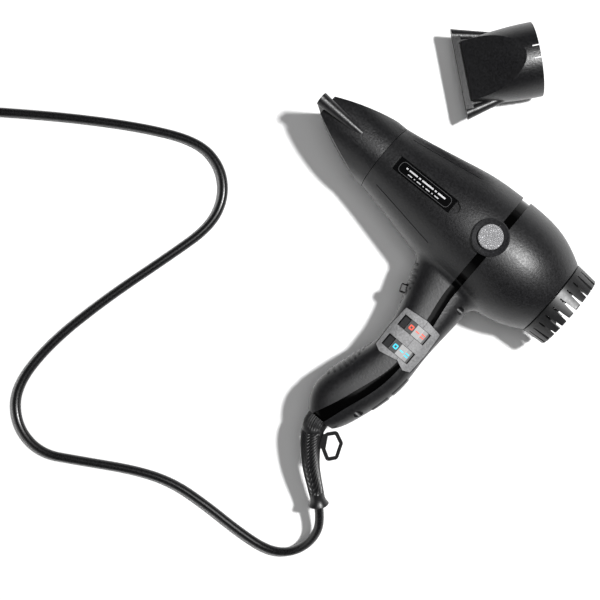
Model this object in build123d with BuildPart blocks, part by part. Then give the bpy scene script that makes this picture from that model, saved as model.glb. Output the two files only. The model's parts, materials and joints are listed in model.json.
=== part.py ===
from build123d import *
import math
import os

os.makedirs("parts", exist_ok=True)

# Professional hair dryer lying on its right side, millimetres.
# X runs from the air outlet (-) to the air intake (+), the handle points to -Y, and +Z is up.
# The origin is the middle of the flat face of the lower side cap, on which the barrel rests.

# ---- driving dimensions ----
AXIS_Z = 44.0            # height of the barrel axis
WALL = 2.6               # wall of the casing
FIT = 0.05               # radial clearance of a running fit
CLEAR = 0.3              # clearance between loose neighbours

OUTLET_X = -92.0         # front rim of the barrel
INTAKE_X = 58.5          # rear rim of the barrel
TRIM_DEPTH = 1.6         # how far the trim lies under the casing's surface
TRIM_THICKNESS = 1.8
PANEL_RISE = 0.5         # how far the switch panel stands proud
PANEL_SEAT = 1.4         # depth of the panel's seat in the shells
PANEL_SKIRT_Z = 5.0      # lowest edge of the panel over the barrel axis
SPIGOT_R = 22.6
SPIGOT_BORE = 20.8
SPIGOT_LENGTH = 12.0
SCREW_R = 1.25
RELIEF_X = -10.6         # where the strain relief leaves the handle
RELIEF_NECK_R = 6.2
HANDLE_END_Y = -168.0
JUNCTION_R = 8.0         # fillet between barrel and handle

BOSS_R = 13.0            # side boss ring
BOSS_CAP_R = 8.6
BOSS_SEAT = 34.8         # distance of the boss's inner face from the barrel axis

NOZZLE_TIP_X = -148.0
NOZZLE_WALL = 1.6
WING_HALF = 2.9          # half thickness of a nozzle's wings
SLOT_HALF = 2.0          # half thickness of its air slot
LIP_LENGTH = 5.5         # the lip along its mouth
LIP_HALF = 4.4
BAR_R = 4.8              # round edge of a wing, at the mouth
BAR_ROOT_R = 2.6         # and where it leaves the wedge

FAN_R = 29.2
FAN_X = 30.0
HOUSING_R = 31.4
MOTOR_R = 15.0
SHAFT_R = 1.5

CAP_START_X = 59.0
CAP_END_X = 76.0
CAP_SLOTS = 24

SLOT_X = 0.8             # middle of both rocker slots
HEAT_Y = -79.1
SPEED_Y = -96.0
SLOT_LENGTH = 22.8
SLOT_WIDTH = 9.0
ROCKER_PIVOT = AXIS_Z + 12.0

CORD_D = 6.5
FLOOR_Z = CORD_D / 2 + 0.05

# Radius of the barrel along X.
BARREL_OUTLINE = [(OUTLET_X, 25.2), (-67, 29.9), (-46, 34.5), (-21, 39.2), (-3, 40.5), (17, 41.0),
                  (34, 39.3), (48, 34.8), (INTAKE_X, 29.4)]

# Handle: Y, front edge X, rear edge X, half thickness, squareness of the section.
HANDLE_SECTIONS = [
    (-24, -34.0, 21.5, 19.0, 2.4),
    (-40, -29.5, 21.0, 18.5, 2.5),
    (-54, -24.5, 20.8, 18.0, 2.6),
    (-75, -17.3, 19.8, 18.0, 3.0),
    (-93, -15.0, 19.5, 18.0, 3.2),
    (-104, -15.8, 20.0, 18.0, 3.0),
    (-118, -20.4, 19.6, 18.0, 2.6),
    (-133, -25.0, 16.6, 18.0, 2.5),
    (-146, -27.9, 12.5, 17.6, 2.5),
    (-158, -26.4, 8.0, 16.4, 2.5),
    (HANDLE_END_Y, -20.3, 1.8, 14.0, 2.5),
]

# Seam between the shells below the barrel, X and Y of the trim's two edges.
TRIM_TOP_Y = -43.0
FRONT_SEAM = [(0, -43), (0.6, -52), (3, -68), (4.6, -87), (5.7, -106), (2.4, -121), (-2.5, -135),
              (-7.5, -149), (-15, -166), (-19.5, -176)]
REAR_SEAM = [(6.3, -43), (6.9, -52), (9.2, -68), (10.2, -87), (10.1, -106), (8.6, -121), (5, -135),
             (0, -149), (-5.5, -166), (-9, -176)]

# ---- planes ----
SIDE_PLANE = Plane(origin=(0, 0, AXIS_Z), x_dir=(1, 0, 0), z_dir=(0, -1, 0))
BARREL_AXIS = Axis((0, 0, AXIS_Z), (1, 0, 0))
FROM_BASE = (Align.CENTER, Align.CENTER, Align.MIN)


def barrel_plane(x):
    """Plane across the barrel at x, its normal along +X."""
    return Plane(origin=(x, 0, AXIS_Z), x_dir=(0, 1, 0), z_dir=(1, 0, 0))


def handle_plane(y):
    """Plane across the handle at y, its normal along -Y."""
    return Plane(origin=(0, y, AXIS_Z), x_dir=(1, 0, 0), z_dir=(0, -1, 0))


def superellipse(half_x, half_y, power, centre_x=0.0, count=20):
    """Points of a rounded section between an ellipse (power 2) and a rectangle."""
    points = []
    for index in range(count):
        turn = 2 * math.pi * index / count
        c = math.cos(turn)
        s = math.sin(turn)
        x = half_x * math.copysign(abs(c) ** (2 / power), c)
        y = half_y * math.copysign(abs(s) ** (2 / power), s)
        points.append((centre_x + x, y))
    return points


def casing_body(inset):
    """Barrel and handle as one closed solid, moved inwards by inset."""
    with BuildPart() as body:
        with BuildSketch(SIDE_PLANE):
            with BuildLine():
                upper_line = Spline([(x, r - inset) for x, r in BARREL_OUTLINE])
                Polyline(upper_line @ 1, (INTAKE_X, 0), (OUTLET_X, 0), upper_line @ 0)
            make_face()
        revolve(axis=BARREL_AXIS)
        for y, front_x, rear_x, half_z, power in HANDLE_SECTIONS:
            level = y + inset if y == HANDLE_END_Y else y
            with BuildSketch(handle_plane(level)):
                with BuildLine():
                    middle = (front_x + rear_x) / 2
                    half_x = (rear_x - front_x) / 2
                    ring = superellipse(half_x - inset, half_z - inset, power, middle)
                    Spline(ring, periodic=True)
                make_face()
        loft()
        junction = body.edges().filter_by_position(Axis.Y, -50, -30)
        fillet(junction, JUNCTION_R)
    return body.part


def seam_prism(front_points, rear_points):
    """Upright block between two seam lines, each a list of points from top to bottom."""
    with BuildPart() as prism:
        with BuildSketch(Plane.XY):
            with BuildLine():
                front_top = (front_points[0][0], 70)
                rear_top = (rear_points[0][0], 70)
                Line(front_top, front_points[0])
                Spline(front_points)
                Line(front_points[-1], rear_points[-1])
                Spline(rear_points)
                Line(rear_points[0], rear_top)
                Line(rear_top, front_top)
            make_face()
        extrude(amount=2 * AXIS_Z + 10)
    return prism.part


def shifted(points, dx):
    """The same seam line moved along X."""
    return [(x + dx, y) for x, y in points]


outer_body = casing_body(0)
inner_body = casing_body(WALL)
trim_outer = casing_body(TRIM_DEPTH)
trim_inner = casing_body(TRIM_DEPTH + TRIM_THICKNESS)
panel_outer = casing_body(-PANEL_RISE)
panel_inner = casing_body(PANEL_SEAT)
front_prism = seam_prism(shifted(FRONT_SEAM, -190), FRONT_SEAM)
trim_prism = seam_prism(FRONT_SEAM, REAR_SEAM)
rear_prism = seam_prism(REAR_SEAM, shifted(REAR_SEAM, 190))

# ---- shapes that are cut from several pieces ----

PANEL_OUTLINE = [(-13.4, -70.6), (4.0, -68.6), (17.0, -70.2), (18.4, -87.0), (17.6, -103.6), (12.5, -105.8),
                 (5.4, -102.8), (-8.2, -105.8), (-13.6, -103.4), (-14.4, -87.0)]
PANEL_GAP = 0.5          # seam round the panel


def panel_column(margin):
    """Upright block with the outline of the switch panel, grown or shrunk by a margin."""
    with BuildPart() as column:
        with BuildSketch(Plane.XY.offset(AXIS_Z + PANEL_SKIRT_Z)):
            with BuildLine():
                FilletPolyline(*PANEL_OUTLINE, radius=1.0, close=True)
            make_face()
            offset(amount=margin)
        extrude(amount=20)
    return column.part


panel_block = panel_column(-PANEL_GAP / 2)
panel_seat = panel_column(PANEL_GAP / 2)

# Slots of the two rockers, right through the panel and both shells.
with BuildPart() as rocker_slots:
    with Locations((SLOT_X, HEAT_Y, AXIS_Z + 8), (SLOT_X, SPEED_Y, AXIS_Z + 8)):
        Box(SLOT_LENGTH, SLOT_WIDTH, 20, align=FROM_BASE)

# Round seats of the side bosses, through both sides of the barrel.
with BuildPart() as boss_seats:
    with Locations((0, 0, AXIS_Z)):
        Cylinder(BOSS_R + FIT, 3 * AXIS_Z)

# Thin grooves down the front of the barrel, which part the label's panel from the sides.
GROOVE_DEPTH = 0.6
GROOVE_WIDTH = 0.6
GROOVE_TURN = 48         # from the highest and the lowest line of the barrel
with BuildPart() as groove:
    with BuildSketch(SIDE_PLANE):
        with BuildLine():
            floor_line = Spline([(x, r - GROOVE_DEPTH) for x, r in BARREL_OUTLINE])
            Polyline(floor_line @ 1, (INTAKE_X, 60), (OUTLET_X, 60), floor_line @ 0)
        make_face()
        with Locations((-56.5, 0)):
            Rectangle(53, 150, mode=Mode.INTERSECT)
    extrude(amount=GROOVE_WIDTH / 2, both=True)

# Recess of the label, along the upper line of the tapering barrel.
LABEL_PLANE = Plane(origin=(-56.7, 0, AXIS_Z + 31.82), x_dir=(1, 0, 0.205), z_dir=(-0.205, 0, 1))
with BuildPart() as label_recess:
    with BuildSketch(LABEL_PLANE.offset(-1.6)):
        RectangleRounded(52.6, 10.8, 1.0)
        with Locations((26.3, 0)):
            Circle(4.2)
    extrude(amount=6)

# Screw pockets of the handle, each with its axis along X: Y, height over the axis, mouth radius,
# X of the pocket's floor, X where the shells meet, X where the thread ends.
SCREWS = [(-48.5, 12.0, 2.6, 10.5, 3.5, -6.0), (-148.3, 10.5, 3.1, 3.5, -3.8, -13.0)]

# Hole of the cold shot button, square to the front edge of the handle.
BUTTON_IN = Vector(0.94, 0.342, 0)
BUTTON_PLANE = Plane(origin=(-22.6, -61, AXIS_Z), x_dir=(0, 0, 1), z_dir=-BUTTON_IN)
with BuildPart() as button_hole:
    with BuildSketch(BUTTON_PLANE.offset(-12)):
        RectangleRounded(9.0 + 2 * CLEAR, 6.5 + 2 * CLEAR, 1.4)
    extrude(amount=20)

# Posts for the casing screws, as long as the handle is deep.
with BuildPart() as front_posts:
    for y, height, mouth_r, floor_x, seam_x, thread_x in SCREWS:
        with Locations(Plane(origin=(-40, y, AXIS_Z + height), z_dir=(1, 0, 0))):
            Cylinder(3.0, 40 + seam_x - 3.6, align=FROM_BASE)
    add(outer_body, mode=Mode.INTERSECT)
    for y, height, mouth_r, floor_x, seam_x, thread_x in SCREWS:
        with Locations(Plane(origin=(thread_x, y, AXIS_Z + height), z_dir=(1, 0, 0))):
            Cylinder(SCREW_R, 40, align=FROM_BASE, mode=Mode.SUBTRACT)

with BuildPart() as rear_posts:
    for y, height, mouth_r, floor_x, seam_x, thread_x in SCREWS:
        with Locations(Plane(origin=(floor_x - 1.4, y, AXIS_Z + height), z_dir=(1, 0, 0))):
            Cylinder(mouth_r + 1.4, 40, align=FROM_BASE)
    add(outer_body, mode=Mode.INTERSECT)

with BuildPart() as screw_pockets:
    for y, height, mouth_r, floor_x, seam_x, thread_x in SCREWS:
        with Locations(Plane(origin=(floor_x, y, AXIS_Z + height), z_dir=(1, 0, 0))):
            Cylinder(mouth_r, 40, align=FROM_BASE)
        with Locations(Plane(origin=(seam_x, y, AXIS_Z + height), z_dir=(1, 0, 0))):
            Cylinder(SCREW_R + 0.15, 40, align=FROM_BASE)

# ---- casing ----

with BuildPart() as front_shell:
    add(outer_body)
    add(inner_body, mode=Mode.SUBTRACT)
    add(front_prism, mode=Mode.INTERSECT)
    # spigot that carries the nozzle
    with Locations(barrel_plane(OUTLET_X - SPIGOT_LENGTH)):
        Cylinder(SPIGOT_R, SPIGOT_LENGTH + 2.5, align=FROM_BASE)
    with Locations(barrel_plane(OUTLET_X)):
        Cylinder(23.6, 2.5, align=FROM_BASE)
    with Locations(barrel_plane(OUTLET_X - SPIGOT_LENGTH)):
        Cylinder(SPIGOT_BORE, SPIGOT_LENGTH + 2.5, align=FROM_BASE, mode=Mode.SUBTRACT)
    add(front_posts.part)
    add(panel_seat - panel_inner, mode=Mode.SUBTRACT)
    add(rocker_slots.part, mode=Mode.SUBTRACT)
    add(boss_seats.part, mode=Mode.SUBTRACT)
    add(label_recess.part, mode=Mode.SUBTRACT)
    add(button_hole.part, mode=Mode.SUBTRACT)
    for turn in (GROOVE_TURN, -GROOVE_TURN, 180 - GROOVE_TURN, 180 + GROOVE_TURN):
        add(groove.part.rotate(BARREL_AXIS, turn), mode=Mode.SUBTRACT)
    # mouth for the strain relief
    with Locations(handle_plane(HANDLE_END_Y + 6)):
        with Locations((RELIEF_X, 0)):
            Cylinder(RELIEF_NECK_R + FIT, 12, mode=Mode.SUBTRACT)
front_shell.part.label = "front_shell"
export_step(front_shell.part, "parts/front_shell.step")

with BuildPart() as rear_shell:
    add(outer_body)
    add(inner_body, mode=Mode.SUBTRACT)
    add(rear_prism, mode=Mode.INTERSECT)
    add(rear_posts.part)
    add(screw_pockets.part, mode=Mode.SUBTRACT)
    add(panel_seat - panel_inner, mode=Mode.SUBTRACT)
    add(rocker_slots.part, mode=Mode.SUBTRACT)
    add(boss_seats.part, mode=Mode.SUBTRACT)
    # mouth for the strain relief
    with Locations(handle_plane(HANDLE_END_Y + 6)):
        with Locations((RELIEF_X, 0)):
            Cylinder(RELIEF_NECK_R + FIT, 12, mode=Mode.SUBTRACT)
rear_shell.part.label = "rear_shell"
export_step(rear_shell.part, "parts/rear_shell.step")

# ---- trim in the seam ----

with BuildPart() as trim:
    add(trim_outer)
    add(trim_inner, mode=Mode.SUBTRACT)
    add(trim_prism, mode=Mode.INTERSECT)
    add(boss_seats.part, mode=Mode.SUBTRACT)
    add(panel_seat, mode=Mode.SUBTRACT)
    with Locations(handle_plane(HANDLE_END_Y + 6)):
        with Locations((RELIEF_X, 0)):
            Cylinder(RELIEF_NECK_R + FIT, 12, mode=Mode.SUBTRACT)

# The band runs round the barrel and ends above the handle.
with BuildPart() as barrel_band:
    add(trim.part)
    with Locations((0, TRIM_TOP_Y + 5, AXIS_Z)):
        Box(60, 120, 120, align=(Align.CENTER, Align.MIN, Align.CENTER), mode=Mode.INTERSECT)
barrel_band.part.label = "barrel_band"
export_step(barrel_band.part, "parts/barrel_band.step")

# The strips run down both sides of the handle; the panel parts the left one in two.
HANDLE_STRIPS = [
    ("left_trim_upper", -87, TRIM_TOP_Y + 5, 1),
    ("left_trim_lower", -180, -87, 1),
    ("right_trim", -180, TRIM_TOP_Y + 5, -1),
]
for name, low_y, high_y, side in HANDLE_STRIPS:
    with BuildPart() as strip:
        add(trim.part)
        with Locations((0, (low_y + high_y) / 2, AXIS_Z + side * 40)):
            Box(80, high_y - low_y, 80, mode=Mode.INTERSECT)
    strip.part.label = name
    export_step(strip.part, f"parts/{name}.step")

# ---- side bosses ----

BOSS_FACE = 40.9         # distance of the dish from the barrel axis
for name, side in (("left", 1), ("right", -1)):
    boss_plane = Plane(origin=(0, 0, AXIS_Z), x_dir=(1, 0, 0), z_dir=(0, 0, side))
    profile_plane = Plane(origin=(0, 0, AXIS_Z), x_dir=(1, 0, 0), z_dir=(0, -side, 0))
    with BuildPart() as boss_ring:
        with BuildSketch(profile_plane):
            with BuildLine():
                Polyline((0, BOSS_SEAT), (BOSS_R, BOSS_SEAT), (BOSS_R, BOSS_FACE + 0.6),
                         (BOSS_R - 0.8, BOSS_FACE + 1.3), (BOSS_CAP_R + FIT, BOSS_FACE - 0.4),
                         (BOSS_CAP_R + FIT, 38.5), (0, 38.5), close=True)
            make_face()
        revolve(axis=Axis((0, 0, AXIS_Z), (0, 0, 1)))
        # line that carries the casing's seam across the ring
        with Locations((0, 0, AXIS_Z + side * (BOSS_FACE + 1))):
            Box(0.4, 2 * BOSS_R, 2 * 1.6, mode=Mode.SUBTRACT)
    boss_ring.part.label = f"{name}_boss_ring"
    export_step(boss_ring.part, f"parts/{name}_boss_ring.step")

    with BuildPart() as boss_cap:
        with BuildSketch(boss_plane.offset(38.5)):
            Circle(BOSS_CAP_R)
        extrude(amount=AXIS_Z - 38.5)
        rim = boss_cap.faces().sort_by(Axis.Z)[-1 if side > 0 else 0].edges()
        fillet(rim, 0.9)
    boss_cap.part.label = f"{name}_boss_cap"
    export_step(boss_cap.part, f"parts/{name}_boss_cap.step")

# ---- label plate, lying in its recess ----

with BuildPart() as label_plate:
    with BuildSketch(LABEL_PLANE.offset(-1.6)):
        RectangleRounded(50.0, 10.2, 0.8)
    extrude(amount=1.0)
    fillet(label_plate.faces().sort_by(Axis.Z)[-1].edges(), 0.3)
label_plate.part.label = "label_plate"
export_step(label_plate.part, "parts/label_plate.step")

# ---- switch panel in two halves, met over the seam ----

PANEL_SEAM_X = 4.6
for name, low_x, high_x in (("switch_panel_front", -40, PANEL_SEAM_X - 0.1),
                            ("switch_panel_rear", PANEL_SEAM_X + 0.1, 40)):
    with BuildPart() as panel:
        add(panel_block)
        add(panel_outer, mode=Mode.INTERSECT)
        add(panel_inner, mode=Mode.SUBTRACT)
        add(rocker_slots.part, mode=Mode.SUBTRACT)
        with Locations(((low_x + high_x) / 2, -87, AXIS_Z)):
            Box(high_x - low_x, 80, 80, mode=Mode.INTERSECT)
    panel.part.label = name
    export_step(panel.part, f"parts/{name}.step")

# ---- rockers, each a faceted block on a pin ----

# Section of a rocker about its pin: a low facet in front, then three raised cells.
ROCKER_SECTION = [(-10.6, 2.4), (-5.7, 3.4), (-5.2, 6.2), (0.2, 7.2), (5.4, 7.2), (9.1, 6.0),
                  (10.7, 1.0), (9.0, -3.5), (-9.0, -3.5), (-10.7, 0.4)]
ROCKER_HALF = 4.2
PIN_R = 1.0
for name, y in (("heat_rocker", HEAT_Y), ("speed_rocker", SPEED_Y)):
    with BuildPart() as rocker:
        with BuildSketch(Plane(origin=(SLOT_X, y, ROCKER_PIVOT), x_dir=(1, 0, 0), z_dir=(0, -1, 0))):
            Polygon(*ROCKER_SECTION, align=None)
        extrude(amount=ROCKER_HALF, both=True)
        chamfer(rocker.edges().filter_by(Axis.Y), 0.25)
        with Locations(Plane(origin=(SLOT_X, y + 5.6, ROCKER_PIVOT), z_dir=(0, -1, 0))):
            Cylinder(PIN_R, 11.2, align=FROM_BASE)
    rocker.part.label = name
    export_step(rocker.part, f"parts/{name}.step")

# Housings under the rockers, open upwards, with the holes of the pins.
housing_limit = casing_body(WALL + 0.1)
with BuildPart() as switch_housings:
    with Locations((SLOT_X, HEAT_Y, AXIS_Z - 2), (SLOT_X, SPEED_Y, AXIS_Z - 2)):
        Box(26.4, 12.4, 20, align=FROM_BASE)
    add(housing_limit, mode=Mode.INTERSECT)
    with Locations((SLOT_X, HEAT_Y, AXIS_Z), (SLOT_X, SPEED_Y, AXIS_Z)):
        Box(SLOT_LENGTH + 0.4, SLOT_WIDTH, 30, align=FROM_BASE, mode=Mode.SUBTRACT)
    with Locations(Plane(origin=(SLOT_X, -60, ROCKER_PIVOT), z_dir=(0, -1, 0))):
        Cylinder(PIN_R + FIT, 50, align=FROM_BASE, mode=Mode.SUBTRACT)
switch_housings.part.label = "switch_housings"
export_step(switch_housings.part, "parts/switch_housings.step")

# ---- cold shot button with its spring and switch ----

BUTTON_PROUD = 3.5
SPRING_LENGTH = 5.0
with BuildPart() as cold_shot_button:
    with BuildSketch(BUTTON_PLANE.offset(-4.4)):
        RectangleRounded(9.0, 6.5, 1.2)
    extrude(amount=4.4 + BUTTON_PROUD)
    fillet(cold_shot_button.faces().sort_by(Axis(BUTTON_PLANE.origin, BUTTON_PLANE.z_dir))[-1].edges(), 0.8)
    with BuildSketch(BUTTON_PLANE.offset(-4.4)):
        RectangleRounded(12.0, 8.6, 1.2)
    extrude(amount=-1.4)
cold_shot_button.part.label = "cold_shot_button"
export_step(cold_shot_button.part, "parts/cold_shot_button.step")

with BuildPart() as cold_shot_spring:
    with BuildLine() as coil_line:
        Helix(pitch=(SPRING_LENGTH - 0.8) / 4, height=SPRING_LENGTH - 0.8, radius=1.9,
              center=BUTTON_PLANE.offset(-5.4 - SPRING_LENGTH).origin, direction=-BUTTON_IN)
    with BuildSketch(Plane(origin=coil_line.line @ 0, z_dir=coil_line.line % 0)):
        Circle(0.25)
    sweep(path=coil_line.line)
cold_shot_spring.part.label = "cold_shot_spring"
export_step(cold_shot_spring.part, "parts/cold_shot_spring.step")

with BuildPart() as cold_shot_switch:
    with BuildSketch(BUTTON_PLANE.offset(-5.8 - SPRING_LENGTH)):
        Rectangle(13, 7)
    extrude(amount=-8)
    fillet(cold_shot_switch.edges(), 0.4)
cold_shot_switch.part.label = "cold_shot_switch"
export_step(cold_shot_switch.part, "parts/cold_shot_switch.step")

# ---- casing screws ----

with BuildPart() as casing_screws:
    for y, height, mouth_r, floor_x, seam_x, thread_x in SCREWS:
        with Locations(Plane(origin=(thread_x + 1, y, AXIS_Z + height), z_dir=(1, 0, 0))):
            Cylinder(SCREW_R - 0.02, floor_x - thread_x - 1, align=FROM_BASE)
        with Locations(Plane(origin=(floor_x, y, AXIS_Z + height), z_dir=(1, 0, 0))):
            Cylinder(mouth_r - 0.3, 1.8, align=FROM_BASE)
        with Locations(Plane(origin=(floor_x + 0.8, y, AXIS_Z + height), z_dir=(1, 0, 0))):
            Box(2.6, 0.7, 3, align=FROM_BASE, mode=Mode.SUBTRACT)
            Box(0.7, 2.6, 3, align=FROM_BASE, mode=Mode.SUBTRACT)
casing_screws.part.label = "casing_screws"
export_step(casing_screws.part, "parts/casing_screws.step")

# ---- strain relief with its hang ring ----

RELIEF_POINTS = [(RELIEF_X, HANDLE_END_Y - 0.2, AXIS_Z), (-6.8, -181, 43.2), (5.5, -197, 38.5), (28.5, -217, 29)]
RELIEF_END_WAY = Vector(0.68, -0.66, -0.34).normalized()
RELIEF_STATIONS = [(0.0, 8.4), (0.12, 8.3), (0.3, 7.4), (0.5, 6.3), (0.72, 5.5), (1.0, 4.9)]
with BuildLine() as relief_line:
    Spline(RELIEF_POINTS, tangents=[(0, -1, 0), RELIEF_END_WAY])
with BuildPart() as strain_relief:
    for place, radius in RELIEF_STATIONS:
        with BuildSketch(Plane(origin=relief_line.line @ place, z_dir=relief_line.line % place)):
            Circle(radius)
    loft()
    # neck through the end of the handle
    with Locations(handle_plane(HANDLE_END_Y + 9)):
        with Locations((RELIEF_X, 0)):
            Cylinder(RELIEF_NECK_R, 9.4, align=FROM_BASE)
    # flange at the far end
    with Locations(Plane(origin=relief_line.line @ 1, z_dir=-RELIEF_END_WAY)):
        Cylinder(7.3, 2.8, align=FROM_BASE)
strain_relief.part.label = "strain_relief"
export_step(strain_relief.part, "parts/strain_relief.step")

HANG_PLANE = Plane.XY.offset(AXIS_Z - 1.6)
HANG_LINE = [(0.9, -174.1), (5.4, -168.8), (12.8, -172.1), (16.7, -182.0), (12.7, -186.9), (6.0, -183.2)]
HANG_HALF = 1.25         # half width of the ring's bar
HANG_NECK = [(-4.4, -177.4), (0.6, -174.3), (5.8, -183.4), (-0.4, -186.4)]
with BuildPart() as hang_ring:
    with BuildSketch(HANG_PLANE):
        with BuildLine():
            FilletPolyline(*HANG_LINE, radius=1.6, close=True)
        hexagon = make_face()
        offset(hexagon, amount=HANG_HALF)
        Polygon(*HANG_NECK, align=None)
        offset(hexagon, amount=-HANG_HALF, mode=Mode.SUBTRACT)
    extrude(amount=3.2)
    add(strain_relief.part, mode=Mode.SUBTRACT)
hang_ring.part.label = "hang_ring"
export_step(hang_ring.part, "parts/hang_ring.step")

# ---- nozzles ----


def horn(plane, sections, wedge, inset):
    """Solid from a round rim to a flat end, cut to a wedge across its thickness.

    sections: distance from the rim, half thickness, half width, squareness;
    wedge: distance from the rim and half thickness left there."""
    with BuildPart() as body:
        for distance, half_thick, half_wide, power in sections:
            with BuildSketch(plane.offset(distance)):
                with BuildLine():
                    Spline(superellipse(half_thick - inset, half_wide - inset, power), periodic=True)
                make_face()
        loft()
        with BuildSketch(Plane(origin=plane.origin, x_dir=plane.z_dir, z_dir=plane.y_dir)):
            with BuildLine():
                one_side = Spline([(distance, half - inset) for distance, half in wedge])
                other_side = Spline([(distance, inset - half) for distance, half in wedge])
                Line(one_side @ 0, other_side @ 0)
                Line(one_side @ 1, other_side @ 1)
            make_face()
        extrude(amount=50, both=True, mode=Mode.INTERSECT)
    return body.part


def fan_plate(plane, start, end, start_half, end_half, half_thick):
    """Flat plate that widens towards the mouth, in the middle plane of a nozzle."""
    with BuildPart() as plate:
        with BuildSketch(Plane(origin=plane.origin, x_dir=plane.z_dir, z_dir=-plane.x_dir)):
            Polygon((start, -start_half), (end, -end_half), (end, end_half), (start, start_half), align=None)
        extrude(amount=half_thick, both=True)
    return plate.part


def wing_bar(plane, start, end, start_half, end_half):
    """Round edge of a wing, which thickens towards the mouth."""
    with BuildPart() as bar:
        with BuildSketch(plane.offset(start)):
            with Locations((0, start_half)):
                Circle(BAR_ROOT_R)
        with BuildSketch(plane.offset(end)):
            with Locations((0, end_half)):
                Circle(BAR_R)
        loft()
    return bar.part


def air_nozzle(plane, length, sections, wedge, wing_start, wing_root, mouth_half):
    """Nozzle of a wedge with a flat wing on each side and a lip along the whole mouth."""
    bar_end = mouth_half - BAR_R
    with BuildPart() as body:
        add(horn(plane, sections, wedge, 0))
        add(fan_plate(plane, wing_start, length, wing_root, bar_end, WING_HALF))
        add(fan_plate(plane, length - LIP_LENGTH, length, bar_end, bar_end, LIP_HALF))
        add(wing_bar(plane, wing_start, length, wing_root, bar_end))
        add(wing_bar(plane, wing_start, length, -wing_root, -bar_end))
        # round duct, then the slot of the mouth
        add(horn(plane, sections, wedge, NOZZLE_WALL), mode=Mode.SUBTRACT)
        add(fan_plate(plane, wing_start, length + 1, wing_root - 3, bar_end, SLOT_HALF), mode=Mode.SUBTRACT)
    return body.part


RIM_GAP = 0.4            # between the barrel's rim and the nozzle
NOZZLE_LENGTH = OUTLET_X - RIM_GAP - NOZZLE_TIP_X
NOZZLE_PLANE = Plane(origin=(OUTLET_X - RIM_GAP, 0, AXIS_Z), x_dir=(0, 1, 0), z_dir=(-1, 0, 0))
WEDGE_END = NOZZLE_LENGTH - LIP_LENGTH + 0.5
NOZZLE_SECTIONS = [(0, 25.1, 25.1, 2.0), (14, 25.1, 25.0, 2.0), (34, 24.6, 23.8, 2.1),
                   (WEDGE_END, 22.0, 21.5, 2.3)]
NOZZLE_WEDGE = [(0, 26.8), (10, 23.6), (18, 20.9), (29, 16.9), (38, 13.3), (WEDGE_END, 7.6)]
with BuildPart() as nozzle:
    add(air_nozzle(NOZZLE_PLANE, NOZZLE_LENGTH, NOZZLE_SECTIONS, NOZZLE_WEDGE, 17, 21.8, 31.0))
    # bore over the spigot
    with Locations(NOZZLE_PLANE):
        Cylinder(SPIGOT_R + FIT, SPIGOT_LENGTH + 1.2, align=FROM_BASE, mode=Mode.SUBTRACT)
nozzle.part.label = "nozzle"
export_step(nozzle.part, "parts/nozzle.step")

# The wide nozzle lies flat beside the dryer, its collar away from the handle.
SPARE_RIM_R = 26.35
SPARE_LENGTH = 56.0
SPARE_AWAY = Vector(0.627, 0.779, 0)
SPARE_RIM = Vector(-57.0, 125.3, SPARE_RIM_R + 0.15)
SPARE_PLANE = Plane(origin=SPARE_RIM, x_dir=(0, 0, 1), z_dir=-SPARE_AWAY)
SPARE_END = SPARE_LENGTH - LIP_LENGTH + 0.5
SPARE_SECTIONS = [(0, SPARE_RIM_R, SPARE_RIM_R, 2.0), (12, 26.3, 26.2, 2.0), (34, 25.4, 24.2, 2.1),
                  (SPARE_END, 23.0, 21.8, 2.3)]
SPARE_WEDGE = [(0, 29.4), (10, 26.2), (28, 18.0), (42, 11.2), (SPARE_END, 7.4)]
with BuildPart() as spare_nozzle:
    add(air_nozzle(SPARE_PLANE, SPARE_LENGTH, SPARE_SECTIONS, SPARE_WEDGE, 22, 21.0, 33.0))
    # two slits in the rim
    for side in (-1, 1):
        with Locations(Plane(origin=SPARE_RIM, x_dir=SPARE_PLANE.y_dir, z_dir=(0, 0, 1))):
            with Locations((side * 4.3, 0, SPARE_RIM_R)):
                Box(1.1, 9.6, 12, mode=Mode.SUBTRACT)
spare_nozzle.part.label = "spare_nozzle"
export_step(spare_nozzle.part, "parts/spare_nozzle.step")

# ---- air intake ----

# One tapered slot of the cap, open at the end.
with BuildPart() as cap_slot:
    with BuildSketch(Plane.XY.offset(AXIS_Z)):
        with BuildLine():
            Polyline((CAP_START_X + 3.6, 0.5), (CAP_START_X + 3.6, -0.5), (CAP_END_X + 1, -1.5),
                     (CAP_END_X + 1, 1.5), close=True)
        make_face()
    extrude(amount=40)

SKIRT_R = 26.7
with BuildPart() as filter_cap:
    with BuildSketch(SIDE_PLANE):
        with BuildLine():
            Polyline((53, 25.0), (53, SKIRT_R), (CAP_START_X, SKIRT_R), (CAP_START_X, 28.8),
                     (CAP_START_X + 0.6, 29.4), (CAP_END_X - 0.8, 28.2), (CAP_END_X, 27.4), (CAP_END_X, 26.0),
                     (CAP_START_X + 3, 26.8), (CAP_START_X + 3, 25.0), close=True)
        make_face()
    revolve(axis=BARREL_AXIS)
    for index in range(CAP_SLOTS):
        add(cap_slot.part.rotate(BARREL_AXIS, 360 / CAP_SLOTS * index), mode=Mode.SUBTRACT)
    # grille across the cap
    with Locations(barrel_plane(66)):
        Cylinder(26.9, 1.6, align=FROM_BASE)
        for ring_r, holes in ((6, 8), (12, 14), (18, 20), (23.2, 28)):
            with PolarLocations(ring_r, holes):
                Cylinder(1.7, 1.6, align=FROM_BASE, mode=Mode.SUBTRACT)
filter_cap.part.label = "filter_cap"
export_step(filter_cap.part, "parts/filter_cap.step")

with BuildPart() as filter_mesh:
    with Locations(barrel_plane(64)):
        Cylinder(24.6, 0.8, align=FROM_BASE)
        Cylinder(23.4, 0.8, align=FROM_BASE, mode=Mode.SUBTRACT)
    with Locations(barrel_plane(64.3)):
        Cylinder(24.0, 0.2, align=FROM_BASE)
filter_mesh.part.label = "filter_mesh"
export_step(filter_mesh.part, "parts/filter_mesh.step")

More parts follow.
